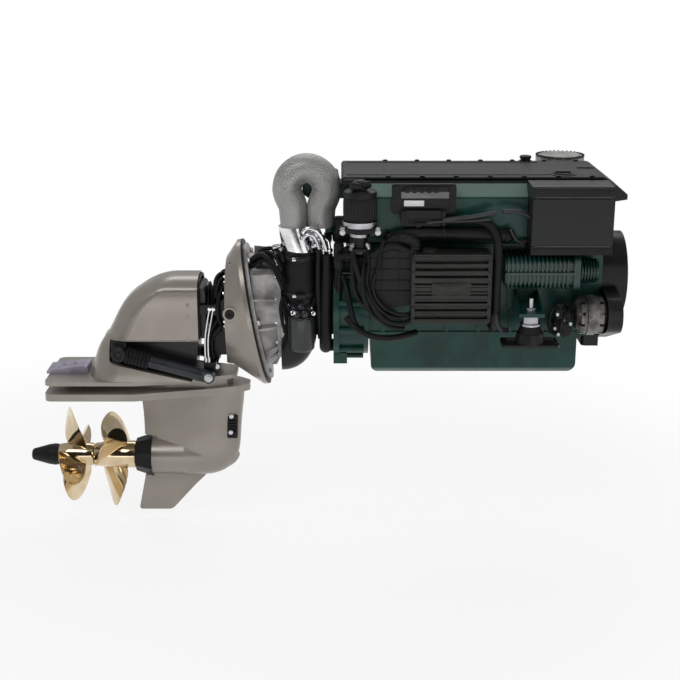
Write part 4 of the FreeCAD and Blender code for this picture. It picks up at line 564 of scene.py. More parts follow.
addCamera(cameraLook)
for name, look in lamps.items():
    addLamp(name, look)
addFloor(floorLook)
addWorld(studioLook)
bpy.context.scene.view_settings.view_transform = "Standard"
print("camera, floor and lights ready")


# woven lagging over the exhaust loop

riserLook = dict(points=[(151, -110, 302), (150, -110, 340), (147, -110, 376), (134, -110, 408),
                         (129, -110, 436), (139, -110, 470), (165, -110, 494), (196, -110, 502),
                         (227, -110, 494), (253, -110, 470), (263, -110, 436), (258, -110, 408),
                         (245, -110, 376), (242, -110, 340), (241, -110, 302)],
                 radius=50, wale=6.4, sides=96, rows=340)


def lagging(look):
    line = smoothLine(look["points"], look["rows"])
    span = np.linalg.norm(np.diff(line, axis=0), axis=1).sum()
    first, second = lineAxes(line, (0, 1, 0))
    turn = np.linspace(0, 2 * math.pi, look["sides"], endpoint=False)
    share = np.linspace(0, 1, look["rows"])
    swell = look["radius"] * (1 - 0.10 * np.exp(-share * 14) - 0.08 * np.exp(-(1 - share) * 14))
    slack = 1 + 0.012 * np.sin(turn * 3 + 9 * share[:, None]) + 0.008 * np.sin(turn * 5 - 21 * share[:, None])
    ring = first[:, None] * np.cos(turn)[None, :, None] + second[:, None] * np.sin(turn)[None, :, None]
    points = line[:, None] + (swell[:, None] * slack)[:, :, None] * ring
    uv = np.stack(np.broadcast_arrays(share[:, None] * span / look["wale"],
                                      turn[None] * look["radius"] / look["wale"]), -1).reshape(-1, 2)
    verts, faces = gridMesh(points, closeColumns=True, caps=(True, True))
    return (verts, faces), np.vstack([uv, uv[:1], uv[-1:]])


def wovenPaint():
    paint = Paint("wovenMetal")
    uv = paint.node("TexCoord", {}, {}, "UV")
    u = paint.node("SeparateXYZ", {}, {"Vector": uv}, "X")
    v = paint.node("SeparateXYZ", {}, {"Vector": uv}, "Y")
    one = ((u + v) * math.pi).sine()
    two = ((u - v) * math.pi).sine()
    strands = abs(one * two)
    height = strands.step(0.05, 0.7)
    soil = paint.noise(14, 4).step(0.3, 0.7)
    bright = paint.mix(soil, (0.60, 0.595, 0.58), (0.74, 0.73, 0.71))
    # the dark between the strands is painted shade in the gaps of the weave
    paint.dress(Base_Color=paint.mix(height, (0.14, 0.138, 0.13), bright), Metallic=0.55,
                Roughness=0.55 - height * 0.17)
    paint.bump(height, 0.0009)
    return paint


paints["wovenMetal"] = wovenPaint()
lagMesh, lagUv = lagging(riserLook)
addPiece("riserLagging", [lagMesh], "engine", "wovenMetal", 0, ["exhaust_riser"], lagUv)
print("lagging woven")


# propellers

wheels = {
    "front": dict(node="front_propeller", body="forward_propeller", tip=196, root=40, blades=3, first=60,
                  hand=1, chord=182, pitch=520, middle=-521, height=-581, rake=20, skew=0.13,
                  quill=(-598, -240, 15.3, 26.4),
                  hub=[(-598, 27), (-598, 38), (-592, 43), (-560, 46), (-500, 49), (-452, 51), (-444, 48),
                       (-444, 27)]),
    "rear": dict(node="rear_propeller", body="after_propeller", tip=189, root=34, blades=4, first=0, hand=-1,
                 chord=146, pitch=520, middle=-663.6, height=-581, rake=18, skew=0.13,
                 quill=(-741, -263, 0, 14.4),
                 hub=[(-727, 16), (-727, 37), (-722, 40), (-690, 43), (-640, 45), (-608, 43), (-600, 40),
                      (-600, 16)]),
}


# a blade: chord = widest * outline(s) with a round tip, section = lens with camber k (1 - u^2), laid at the
# pitch angle atan(pitch / 2 pi r) on a cylinder of radius r, raked aft and skewed with s squared
def bladeMesh(look, turnBy):
    s = np.linspace(0, 1, 34)[:, None] ** 0.8
    t = np.linspace(0, 2 * math.pi, 44, endpoint=False)[None]
    r = look["root"] + (look["tip"] - look["root"]) * s
    widening = 0.52 + 0.48 * np.sin(math.pi / 2 * np.minimum(s / 0.62, 1))
    outline = widening * np.sqrt(np.maximum(1 - s ** 4.2, 0.0006))
    half = look["chord"] / 2 * outline
    u = np.cos(t)
    along = half * u + look["chord"] * look["skew"] * s ** 2
    lens = 7.5 * (1 - 0.82 * s) * np.sqrt(np.maximum(outline, 0.02)) * np.sin(t)
    lens = lens + 9 * (1 - 0.5 * s) * (1 - u ** 2) * outline
    pitch = np.arctan2(look["pitch"], 2 * math.pi * r)
    x = along * np.sin(pitch) - lens * np.cos(pitch) - look["rake"] * s
    around = look["hand"] * (along * np.cos(pitch) + lens * np.sin(pitch)) / r + math.radians(turnBy)
    points = np.stack([look["middle"] + x, r * np.sin(around), look["height"] + r * np.cos(around)], -1)
    return gridMesh(points, closeColumns=True, caps=(True, True))


# hub, blades, and the quill that carries them on the line of the shafts
def wheelMesh(look):
    line = (0, 0, look["height"])
    meshes = [turnedRing(look["hub"], line, (1, 0, 0), 64)]
    for k in range(look["blades"]):
        meshes.append(bladeMesh(look, look["first"] + 360 / look["blades"] * k))
    aft, fore, inner, outer = look["quill"]
    meshes.append(turnedRing([(aft, inner), (aft, outer), (fore, outer), (fore, inner)], line, (1, 0, 0), 32))
    return meshes


for look in wheels.values():
    addPiece(look["node"].replace("_p", "P") + "Bronze", wheelMesh(look), look["body"], "bronze",
             40, [look["node"]])
print("propellers turned")


# bellows between the shield, the fork and the leg

bellowsLook = {
    "bellowsFore": dict(node="bellows_front", span=(-26, -85), folds=3, mean=70, depth=8, wall=4,
                        bodies=("engine", "steering_fork")),
    "bellowsAft": dict(node="bellows_rear", span=(-85, -165), folds=4, mean=70, depth=8, wall=4,
                       bodies=("steering_fork", "drive_leg")),
}


# folds: radius = mean + depth * sign * |cos| ** 0.7, so crests and valleys are broader than a plain wave's;
# the inner side lies one wall further in
def bellowsMesh(look):
    start, end = look["span"]
    share = np.linspace(0, 1, look["folds"] * 14 + 1)
    wave = np.cos(share * look["folds"] * 2 * math.pi)
    outer = look["mean"] + look["depth"] * np.sign(-wave) * np.abs(wave) ** 0.7
    x = start + (end - start) * share
    rows = np.concatenate([np.stack([x, outer], 1), np.stack([x, outer - look["wall"]], 1)[::-1]])
    return turnedRing(rows, (0, 0, 0), (1, 0, 0), 64)


for name, look in bellowsLook.items():
    piece = addPiece(name, [bellowsMesh(look)], None, "blackRubber", 0, [look["node"]])
    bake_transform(piece)
print("bellows folded")


# trim cylinders: a bright rod with its eye, a rubber gaiter, and the bolts of its pins

# start and end: x and z of the pins at its two ends; across: how far it stands out to each side
trimLook = dict(start=(-466, -147), end=(-154, -234), across=134, pinFace=149.2, begin=24, reach=108.6,
                folds=7)


# where a side's cylinder begins, and its direction
def trimLine(look, side):
    begin = np.array([look["start"][0], side * look["across"], look["start"][1]], float)
    way = np.array([look["end"][0], side * look["across"], look["end"][1]], float) - begin
    return begin, way / np.linalg.norm(way)


# the gaiter: radius = 25 + 5 |sin| ** 0.6 along the rod, one crest to each fold
def gaiterMesh(look, side):
    begin, way = trimLine(look, side)
    share = np.linspace(0, 1, look["folds"] * 10 + 1)
    crest = 25 + 5.0 * np.abs(np.sin(share * look["folds"] * math.pi)) ** 0.6
    length = look["begin"] + (look["reach"] - look["begin"]) * share
    rows = np.concatenate([[(look["begin"] - 1.0, 13)], np.stack([length, crest], 1),
                           [(look["reach"], 24.7)]])
    return turnedForm(rows, begin, way, 40, (True, False))


# the bright rod and its eye, laid from the after pin towards the forward one
def trimRodMesh(look, side):
    begin, way = trimLine(look, side)
    rod = turnedForm([(17, 8.9), (24, 8.9), (252, 8.9), (256, 7.0)], begin, way, 24)
    collar = turnedForm([(14, 9), (14, 13), (16, 14), (22, 14), (24, 13), (24, 9)], begin, way, 32,
                        (True, True))
    eyeRows = [(-15, 9.2), (-15, 18), (-13, 20.6), (13, 20.6), (15, 18), (15, 9.2)]
    return [rod, collar, turnedRing(eyeRows, begin, (0, 1, 0), 40)]


for side, name in ((-1, "starboard"), (1, "port")):
    addPiece("trimRod_" + name, trimRodMesh(trimLook, side), "rod_" + name, "polishedSteel",
             35, ["trim_rod_" + name])
    addPiece("trimGaiter_" + name, [gaiterMesh(trimLook, side)], "rod_" + name, "blackRubber",
             0)
    (aftX, aftZ), (foreX, foreZ) = trimLook["start"], trimLook["end"]
    pins = [(aftX, side * trimLook["pinFace"], aftZ)]
    addPiece("trimPinBolts_" + name, [bolts(pins, (0, side, 0), 11, 7)], "drive_leg", "blackPaint")
    pins = [(foreX, side * trimLook["pinFace"], foreZ)]
    addPiece("forkPinBolts_" + name, [bolts(pins, (0, side, 0), 11, 7)], "steering_fork",
             "machinedSteel")
print("trim cylinders dressed")


# helmet cover: screws in their sockets, and the lip round its foot

helmetLook = dict(screws=[(-224, 20), (-224, -22), (-224, -104)], topScrews=[(-330, 78, 84), (-226, 90, 82)],
                  wall=108.2, front=-190, rim=(-110, -527, 108, 92))


def helmetScrews(look):
    meshes = []
    for side in (-1, 1):
        for x, z in look["screws"]:
            meshes.append(bolts([(x, side * look["wall"], z)], (0, side, 0), 6.0, 2.2, True, True))
        for x, y, z in look["topScrews"]:
            meshes.append(bolts([(x, side * y, z)], (0, side * 0.6, 0.8), 6.5, 2.5, True, True))
    return meshes


# half of a level outline of the cover: straight side, then the rounded after end; grown by a margin
def coverEdge(look, level, margin):
    z, aft, half, corner = look[level]
    turn = np.radians(np.linspace(0, 90, 14))
    x, y = aft + corner - (corner + margin) * np.sin(turn), half - corner + (corner + margin) * np.cos(turn)
    side = np.stack([np.concatenate([[look["front"] + 2, -300], x]), np.concatenate([[half + margin] * 2, y]),
                     np.full(len(x) + 2, z)], 1)
    return np.concatenate([side, side[::-1] * (1, -1, 1)])


addPiece("helmetScrews", helmetScrews(helmetLook), "drive_leg", "taupePaint")
addPiece("helmetRim", [tube(smoothLine(coverEdge(helmetLook, "rim", 0.6), 130), 2.6, 8)], "drive_leg",
         "taupePaint", 0)
bezelLook = dict(back=-190, fore=-183, rows=[(-106, 103), (60, 99), (84, 86), (97, 62), (103, 30)], wall=12)


# the black seal round the cover's mouth: its outline up one side, over the top and down the other
def mouthSeal(look):
    half = [(y, z) for z, y in look["rows"]]
    outline = np.array(half + [(-y, z) for y, z in reversed(half)], float)
    inner = outline * (1 - look["wall"] / 103, 1) - (0, look["wall"] * 0.6)
    inner[[0, -1], 1] = outline[[0, -1], 1]
    rows = [np.column_stack([np.full(len(ring), x), ring]) for x, ring in
            ((look["back"], outline), (look["fore"], outline), (look["fore"], inner), (look["back"], inner))]
    return gridMesh(np.array(rows), closeRows=True, caps=(False, False))


addPiece("mouthSeal", [mouthSeal(bezelLook)], "drive_leg", "blackRubber")


# black caps over the after trim pins, each with three screws
def knuckleCaps():
    meshes = []
    for side in (-1, 1):
        centre = np.array((-466, side * 149.6, -147.0))
        meshes.append(turnedForm([(0, 27), (5, 27), (8, 24), (8, 15), (5, 13)], centre, (0, side, 0), 36))
        meshes.append(roundBlock((-496, min(side * 112, side * 118.4), -186),
                                 (-442, max(side * 112, side * 118.4), -112), 5, 1))
        for k in range(3):
            turn = math.radians(30 + 120 * k)
            meshes.append(bolts([centre + (20 * math.cos(turn), side * 7.6, 20 * math.sin(turn))],
                                (0, side, 0), 3.6, 3))
    return meshes


addPiece("knuckleCaps", knuckleCaps(), "drive_leg", "blackPaint")


# steering: hoses and fittings between the fork and the leg

hoseLook = {
    "steeringHoseA": dict(points=[(-100, -60, 104), (-112, -72, 96), (-121, -82, 76), (-124, -88, 52),
                                  (-118, -92, 40)],
                          radius=8),
    "steeringHoseB": dict(points=[(-100, -26, 116), (-116, -40, 112), (-126, -56, 98), (-127, -66, 80),
                                  (-112, -74, 66)],
                          radius=8.5),
    "steeringHoseC": dict(points=[(-100, -82, 78), (-110, -97, 58), (-116, -106, 32), (-118, -108, 6),
                                  (-116, -106, -28), (-108, -100, -52)], radius=7.5),
    "steeringHoseD": dict(points=[(-104, -80, -20), (-126, -86, -44), (-146, -88, -74), (-160, -86, -108),
                                  (-162, -84, -150), (-154, -80, -190)], radius=8.5),
    "steeringHoseE": dict(points=[(-100, -88, -52), (-116, -90, -70), (-136, -84, -92), (-150, -72, -118),
                                  (-156, -60, -150), (-150, -54, -186)], radius=10),
    "steeringHoseF": dict(points=[(-112, -62, -34), (-128, -68, -64), (-144, -70, -104), (-148, -68, -150),
                                  (-144, -64, -192)], radius=7.5),
    "steeringHoseG": dict(points=[(-98, 60, 104), (-114, 72, 94), (-123, 84, 72), (-122, 92, 48),
                                  (-112, 94, 40)], radius=8),
    "steeringHoseH": dict(points=[(-104, 80, -20), (-126, 86, -44), (-146, 88, -74), (-160, 86, -108),
                                  (-162, 84, -150), (-154, 80, -190)], radius=8.5),
}
for name, look in hoseLook.items():
    addPiece(name, [tube(smoothLine(look["points"], 40), look["radius"], 14)], "steering_fork",
             "blackRubber", 0)


def forkFittings():
    meshes = []
    for side in (-1, 1):
        for k in (0, 1):
            x = -135 - 13 * k
            meshes.append(turnedForm([(0, 7), (7, 7), (7, 5.5), (11, 5.5)], (x, side * 96, 4), (0, side, 0),
                                     6))
            foot = (-156 - 11 * k, side * 104, -188)
            meshes.append(turnedForm([(0, 6), (12, 6), (12, 4.6), (18, 4.6)], foot, (0, 0, 1), 6))
        meshes.append(bolts([(-97.5, side * 92, 60), (-97.5, side * 92, -60)], (-1, 0, 0), 6, 5))
        meshes.append(bolts([(-225, side * 96.2, 0)], (0, side, 0), 15, 8))
        for x, z in ((-128, -207), (-160, -207)):
            meshes.append(bolts([(x, side * 100.2, z)], (0, side, 0), 7, 5))
    return meshes


addPiece("forkFittings", forkFittings(), "steering_fork", "polishedSteel")
print("steering dressed")


# shield: bolts round the rim

shieldLook = dict(tilt=10, centre=-33, half=(160, 237), angles=(-60, 0, 60), proud=18.2)


# a point on the rim's plane: across by y, up the tilted plane by rise, out by the normal
def onTransom(look, y, rise, out):
    lean = math.radians(look["tilt"])
    up = np.array([-math.sin(lean), 0, math.cos(lean)])
    inboard = np.array([math.cos(lean), 0, math.sin(lean)])
    return up * (rise + look["centre"]) + np.array([0, y, 0]) + inboard * out


def shieldBolts(look):
    places = []
    for side in (-1, 1):
        for angle in look["angles"]:
            turn = math.radians(angle)
            across, rise = look["half"][0] * math.cos(turn), look["half"][1] * math.sin(turn)
            places.append(onTransom(look, side * across, rise, look["proud"]))
    lean = math.radians(look["tilt"])
    return [bolts(places, (math.cos(lean), 0, math.sin(lean)), 10, 9)]


addPiece("shieldBolts", shieldBolts(shieldLook), "engine", "machinedSteel")


# bell housing: bolts and nuts round the flange

bellLook = dict(flange=(104, 140, 190), bolts=14)


def bellBolts(look):
    x, across, up = look["flange"]
    turn = np.linspace(0, 2 * math.pi, look["bolts"], endpoint=False) + 0.2
    places = np.stack([np.full(len(turn), x - 14.2), across * np.cos(turn), up * np.sin(turn)], 1)
    places[:, 1:] *= 0.985
    return [bolts(places, (-1, 0, 0), 7, 7), bolts(places + (14.4, 0, 0), (1, 0, 0), 7, 6)]


addPiece("bellBolts", bellBolts(bellLook), "engine", "machinedSteel")


# plugs and leads bunched over the bell, from the shield up to the exhaust
bunchLook = dict(plugs=[(-6, -70, 150, 13), (14, -58, 176, 12), (30, -90, 186, 14), (52, -84, 196, 12),
                        (18, -104, 160, 11)])


def plugBunch(look):
    meshes = []
    for x, y, z, r in look["plugs"]:
        body = turnedForm([(0, r * 0.7), (0, r), (r * 0.5, r), (r * 0.6, r * 0.86), (r * 1.5, r * 0.86),
                           (r * 1.6, r), (r * 2.1, r), (r * 2.2, r * 0.5)], (x, y, z), (0.7, -0.25, 0.6), 20)
        meshes.append(body)
    return meshes


addPiece("plugBunch", plugBunch(bunchLook), "engine", "blackPlastic")
leadLook = {
    "bunchLeadA": [(24, -64, 196), (46, -84, 216), (76, -108, 224), (104, -140, 214), (118, -164, 190)],
    "bunchLeadB": [(40, -94, 202), (66, -120, 212), (92, -150, 196), (110, -176, 160)],
    "bunchLeadC": [(2, -72, 138), (-4, -60, 110), (6, -50, 70)],
    "bunchLeadD": [(28, -108, 178), (50, -128, 186), (76, -150, 170), (98, -168, 130), (112, -172, 96)],
    "bunchLeadE": [(60, -90, 206), (96, -110, 230), (140, -120, 250), (150, -150, 258)],
}
leads = [conduit(points, 7.0, 26) for points in leadLook.values()]
leads += [conduit([(-6 + 3 * k, -66 - 9 * k, 168 + 4 * k), (24 + 2 * k, -84 - 9 * k, 196 + 2 * k),
                   (58, -100 - 10 * k, 202 - k), (92, -116 - 10 * k, 200 - 8 * k),
                   (112, -130 - 8 * k, 180 - 18 * k)], 8.5, 22)
          for k in range(5)]
addPiece("bunchLeads", leads, "engine", "blackRubber", 0)
fittings = [turnedForm([(0, 6), (0, 9), (14, 9), (16, 7), (26, 7), (28, 5)], place, way, 16)
            for place, way in (((70, -112, 214), (0.6, -0.5, -0.62)), ((88, -140, 196), (0.3, -0.6, -0.75)),
                               ((96, -150, 150), (0.2, -0.4, -0.9)), ((80, -128, 232), (0.9, -0.2, 0.3)))]
addPiece("bunchFittings", fittings, "engine", "polishedSteel")
print("bell dressed")


# exhaust below the loop: clamps and their screws, bent tubes, the canister with its plugs and leads

def exhaustBands():
    meshes = []
    for z, r in ((68, 69.2), (196, 69.2)):
        band = [(0, r - 1.5), (0, r), (2, r + 0.8), (12, r + 0.8), (14, r), (14, r - 1.5)]
        meshes.append(turnedForm(band, (173, -110, z), (0, 0, 1), 64, (False, False)))
        meshes.append(roundBlock((155, -194, z - 2), (191, -180, z + 16), 3, 1))
    return meshes


def exhaustTrim():
    screw = [(0, 5), (0, 7), (12, 7), (12, 5)]
    meshes = [turnedForm(screw, (146, -188, z), (1, 0, 0), 12) for z in (75, 203)]
    for x, y, z in ((252, -158, 222), (272, -158, 222)):
        meshes.append(turnedForm([(0, 7), (0, 10), (4, 12), (10, 12), (14, 9), (14, 7)], (x, y, z), (0, 0, 1),
                                 24))
    for x, y, z, r in ((128, -168, 34, 8), (216, -196, 16, 8), (147, -198, 18, 9), (206, -180, 30, 6)):
        meshes.append(turnedForm([(0, r * 0.6), (0, r), (6, r), (7, r * 0.8), (15, r * 0.8), (16, r * 0.4)],
                                 (x, y, z), (0.25, -0.9, 0.35), 18))
    meshes.append(conduit([(183, -180, 292), (190, -180, 306), (206, -180, 311), (228, -180, 302),
                           (246, -179, 280), (256, -176, 254), (262, -172, 232)], 8.5, 2, 20, 0.0))
    meshes.append(conduit([(184, -186, 270), (192, -188, 286), (208, -188, 290), (222, -186, 280),
                           (232, -182, 260), (238, -176, 236)], 6.5, 2, 20, 0.0))
    return meshes


canisterLook = dict(axis=(174, -160), radius=46,
                    rows=[(-124, 0.82), (-121, 0.93), (-114, 1.0), (-8, 1.0), (-2, 0.97), (2, 0.88),
                          (4, 0.70), (12, 0.66), (14, 0.3)])


def canister(look):
    x, y = look["axis"]
    rows = [(z, look["radius"] * share) for z, share in look["rows"]]
    return turnedForm(rows, (x, y, 0), (0, 0, 1), 64)


addPiece("exhaustBands", exhaustBands(), "engine", "blackPaint")
addPiece("exhaustTrim", exhaustTrim(), "engine", "polishedSteel")
addPiece("outletCanister", [canister(canisterLook)], "engine", "canisterPaint")
plugs = [turnedForm([(0, 10), (0, 13), (8, 13), (9, 11), (20, 11), (22, 8)], place, way, 20) for place, way in
         (((150, -176, 22), (0.1, -0.6, 0.8)), ((174, -182, 30), (0.1, -0.8, 0.6)),
          ((198, -178, 24), (0.3, -0.6, 0.7)),
          ((162, -192, 12), (-0.2, -0.9, 0.3)), ((186, -194, 14), (0.2, -0.9, 0.2)))]
addPiece("canisterPlugs", plugs, "engine", "slatePaint")
addPiece("exhaustLeads", [conduit(points, 6.5, 24) for points in (
    [(120, -150, 60), (126, -178, 40), (150, -194, 18), (182, -196, 14), (206, -186, 26)],
    [(220, -160, 60), (216, -180, 44), (192, -194, 34), (160, -192, 30), (136, -176, 44)],
    [(112, -150, 62), (104, -164, 30), (108, -174, -10), (118, -176, -60)])], "engine",
         "blackRubber", 0)
# the black mass between the exhaust hose and the flywheel housing
addPiece("sideBlocks", [roundBlock((286, -196, 168), (322, -150, 262), 8, 1),
                        roundBlock((318, -206, 196), (352, -160, 248), 8, 1),
                        roundBlock((282, -120, 244), (352, -60, 330), 8, 1),
                        roundBlock((262, -134, -78), (306, -118, 200), 5, 1),
                        roundBlock((222, -120, -86), (250, -96, 200), 6, 2)], "engine",
         "blackPlastic")
addPiece("sideCables", [tube(smoothLine(points, 50), 9, 14) for points in (
    [(300, -172, 180), (296, -166, 120), (294, -160, 40), (296, -152, -40), (300, -140, -70)],
    [(318, -186, 200), (306, -180, 150), (304, -172, 80), (306, -166, 20), (312, -158, -30)],
    [(236, -176, 236), (234, -178, 180), (233, -176, 100), (234, -168, 20), (238, -160, -50),
     (240, -156, -84)])], "engine",
    "blackRubber", 0)
print("exhaust dressed")


# top cover: screws along both edges, edge strips and hatch lines, the knob, the ring round the oil filler

coverLook = dict(top=482, nearY=-160, firstX=466, pitch=113.5, count=7, screw=8)


def coverScrews(look):
    x = look["firstX"] + look["pitch"] * np.arange(look["count"])
    near = np.stack([x + 4, np.full(len(x), look["nearY"]), np.full(len(x), look["top"] - 0.6)], 1)
    far = near * (1, -1, 1)
    return [bolts(near, (0, 0, 1), look["screw"], 5, True, True),
            bolts(far, (0, 0, 1), look["screw"], 5, True, True)]


def coverTrim():
    meshes = []
    for y in (-128, 128):
        meshes.append(roundBlock((330, y - 2.5, 481), (1010, y + 2.5, 484), 1.2, 2))
    meshes.append(roundBlock((318, -182.8, 458.5), (1188, -180.5, 466), 1.0, 1))
    for x in (460, 960):
        meshes.append(roundBlock((x - 1.5, -178, 481), (x + 1.5, 178, 482.8), 0.7, 2))
    knob = [(0, 22), (4, 24), (8, 24), (9, 18), (16, 18), (17, 21), (24, 21), (26, 18)]
    meshes.append(turnedForm(knob, (972, 168, 474), (0, 0, 1), 28))
    ring = [(0, 34.5), (0, 45), (1.6, 46), (2.4, 44), (2.4, 36), (1.2, 34.5)]
    meshes.append(turnedRing(ring, (1061, -110, 482), (0, 0, 1), 72))
    return meshes


addPiece("coverScrews", coverScrews(coverLook), "engine", "blackPaint")
addPiece("coverTrim", coverTrim(), "engine", "blackPlastic")


# control unit: its screws, the strip, a bare plate, the plug's latch and ribs

unitLook = dict(face=-264, x=(478, 690), z=(374, 474))


def unitScrews(look):
    (x0, x1), (z0, z1) = look["x"], look["z"]
    rises = (z0 + 18, (z0 + z1) / 2 + 4, z1 - 14)
    places = [(x, look["face"] + 7.8, z) for x in (x0 + 13, x1 - 13) for z in rises]
    return [bolts(places, (0, -1, 0), 6.5, 5, True, True)]


def unitTrim(look):
    face = look["face"]
    meshes = [roundBlock((520 + 24 * k, face - 3, 446), (536 + 24 * k, face + 2, 462), 2, 1)
              for k in range(5)]
    meshes += [roundBlock((530, face - 16.5, 346 + 7 * k), (640, face - 13, 349 + 7 * k), 1.2, 1)
               for k in range(3)]
    meshes.append(roundBlock((552, face - 22, 342), (620, face - 13, 352), 3, 1))
    for x in (514, 648):
        meshes.append(roundBlock((x - 7, face - 18, 338), (x + 7, face - 10, 390), 3, 1))
    return meshes


addPiece("unitScrews", unitScrews(unitLook), "engine", "blackPaint")
addPiece("unitTrim", unitTrim(unitLook), "engine", "blackPlastic")
greyStripLook = dict(light=(0.20, 0.19, 0.19), dark=(0.13, 0.125, 0.125), metallic=0.1,
                     rough=(0.4, 0.55), patch=20, grain=1200, depth=0.00005, coat=0)
paints["greyStrip"] = plainPaint("greyStrip", greyStripLook)
paperLabelLook = dict(light=(0.86, 0.86, 0.85), dark=(0.78, 0.78, 0.77), metallic=0,
                      rough=(0.45, 0.6), patch=20, grain=1500, depth=0.00003, coat=0.1)
paints["paperLabel"] = plainPaint("paperLabel", paperLabelLook)
addPiece("unitStrip", [roundBlock((508, -265.4, 428), (666, -263, 450), 1.2, 1, 3)], "engine",
         "greyStrip")
addPiece("unitLabel", [roundBlock((518, -264.8, 402), (584, -263.2, 421), 0.6, 1, 2)], "engine",
         "paperLabel")
print("control unit dressed")


# fuel filter: ribs round the canister, a clamp, the cap's fittings, the bracket's bolts

filterLook = dict(axis=(374, -270), low=356, high=455, radius=54, ribs=30)


def filterRibs(look):
    x, y = look["axis"]
    rows = np.linspace(look["low"] + 8, look["high"] - 22, 10)
    turn = np.linspace(0, 2 * math.pi, look["ribs"] * 8, endpoint=False)
    wave = look["radius"] + 0.6 + 1.4 * np.clip(np.cos(turn * look["ribs"]) * 2, -1, 1)
    ends = np.concatenate([[0.965, 0.99], np.ones(6), [0.99, 0.965]])[:, None]
    points = np.stack([x + ends * wave * np.cos(turn), y + ends * wave * np.sin(turn),
                       np.broadcast_to(rows[:, None], (10, len(turn)))], -1)
    return gridMesh(points, closeColumns=True, caps=(True, True))


def filterTop(look):
    x, y = look["axis"]
    top = look["high"]
    meshes = [turnedForm([(-20, 54), (-6, 55.5), (-2, 54), (2, 48), (4, 30), (6, 26), (14, 26), (16, 22),
                          (24, 22), (27, 16), (33, 16), (35, 10)], (x, y, top), (0, 0, 1), 48, (False, True))]
    meshes.append(turnedForm([(0, 11), (0, 14), (30, 14), (32, 11)], (x - 2, y - 20, top + 14),
                             (-0.9, -0.3, 0.2), 20))
    meshes.append(turnedForm([(0, 9), (0, 12), (24, 12), (26, 9)], (x + 10, y - 12, top + 18),
                             (0.9, -0.3, 0.3), 20))
    return meshes


def filterSteel(look):
    x, y = look["axis"]
    meshes = [turnedForm([(0, 56), (0, 58), (10, 58), (10, 56)], (x, y, 346), (0, 0, 1), 56, (False, False))]
    meshes.append(turnedForm([(0, 50), (4, 56), (12, 57), (16, 50)], (x, y, 334), (0, 0, 1), 56))
    for px in (-58, 58):
        meshes.append(bolts([(x + px, y - 34, 334)], (0, 0, 1), 8, 7))
        meshes.append(bolts([(x + px, y - 42, 324)], (0, -1, 0), 7, 6))
    drain = [(0, 34), (-10, 33), (-22, 22), (-30, 16), (-42, 14), (-44, 18), (-54, 18), (-58, 9), (-66, 8)]
    meshes.append(turnedForm(drain, (x, y, 314), (0, 0, 1), 36))
    for k, r in ((0, 7), (1, 6)):
        meshes.append(turnedForm([(0, r), (0, r + 2.5), (10, r + 2.5), (12, r), (22, r)],
                                 (x + 24 - 48 * k, y - 20, 280), (0.3 - 0.6 * k, -0.6, -0.7), 14))
    return meshes


addPiece("filterRibs", [filterRibs(filterLook)], "engine", "blackPlastic", 50)
addPiece("filterTop", filterTop(filterLook), "engine", "blackPlastic")
addPiece("filterSteel", filterSteel(filterLook), "engine", "machinedSteel")
print("fuel filter dressed")


# charge cooler: fins proud of the core, frame rails, corner screws

coolerLook = dict(x=(543, 806), z=(20, 255), face=-335, fins=9)


def coolerFins(look):
    (x0, x1), (z0, z1) = look["x"], look["z"]
    pitch = (z1 - z0 - 20) / look["fins"]
    meshes = []
    for k in range(look["fins"] + 1):
        z = z0 + 10 + pitch * k
        meshes.append(roundBlock((x0 + 4, look["face"] - 1.8, z - 4.2), (x1 - 4, look["face"] + 3, z + 4.2),
                                 1.6, 1, 3))
    meshes.append(roundBlock((x0 + 66, look["face"] - 2.6, z0 + 97), (x1 - 66, look["face"] + 3, z0 + 143),
                             2.5, 1, 8))
    for x in (x0 + 2, x1 - 12):
        meshes.append(roundBlock((x, look["face"] - 2.4, z0 + 4), (x + 10, look["face"] + 4, z1 - 4), 2, 1,
                                 4))
    return meshes


def coolerScrews(look):
    (x0, x1), (z0, z1) = look["x"], look["z"]
    z = np.linspace(z0 + 18, z1 - 18, 6)
    places = [(x, look["face"] - 2.2, h) for x in (x0 + 7, x1 - 7) for h in z]
    return [bolts(places, (0, -1, 0), 4.6, 3.2, False)]


addPiece("coolerFins", coolerFins(coolerLook), "engine", "coolerPaint")
addPiece("coolerScrews", coolerScrews(coolerLook), "engine", "blackPaint")
print("cooler dressed")


# ducts: a ribbed elbow, clamps on the arched hose, the box's seams

def ductTrim():
    meshes = []
    for x in (478, 652, 856):
        z = {478: 298, 652: 311, 856: 303}[x]
        way = {478: (0.5, 0, 0.86), 652: (1, 0, 0), 856: (0.9, 0.3, -0.2)}[x]
        band = [(-6, 22), (-6, 24), (-3, 25), (3, 25), (6, 24), (6, 22)]
        meshes.append(turnedForm(band, (x, -258.5, z), way, 40, (False, False)))
    elbow = [(548, -286, 244), (556, -292, 276), (540, -292, 296), (506, -282, 300), (474, -276, 286),
             (452, -262, 262)]
    meshes.append(conduit(elbow, 20, 16, 24, 0.10))
    meshes.append(tube(smoothLine([(428, -286, 250), (450, -300, 268), (484, -298, 276), (520, -288, 262),
                                   (556, -284, 240)],
                                  36), 14, 20))
    for z in (122, 158, 196, 232):
        meshes.append(roundBlock((410, -303.5, z), (540, -299, z + 4), 1.4, 1))
    for x in (446, 500):
        meshes.append(roundBlock((x, -302.6, 116), (x + 4, -299, 258), 1.2, 1))
    return meshes


addPiece("ductTrim", ductTrim(), "engine", "blackPlastic")


# leads and hoses on the starboard side

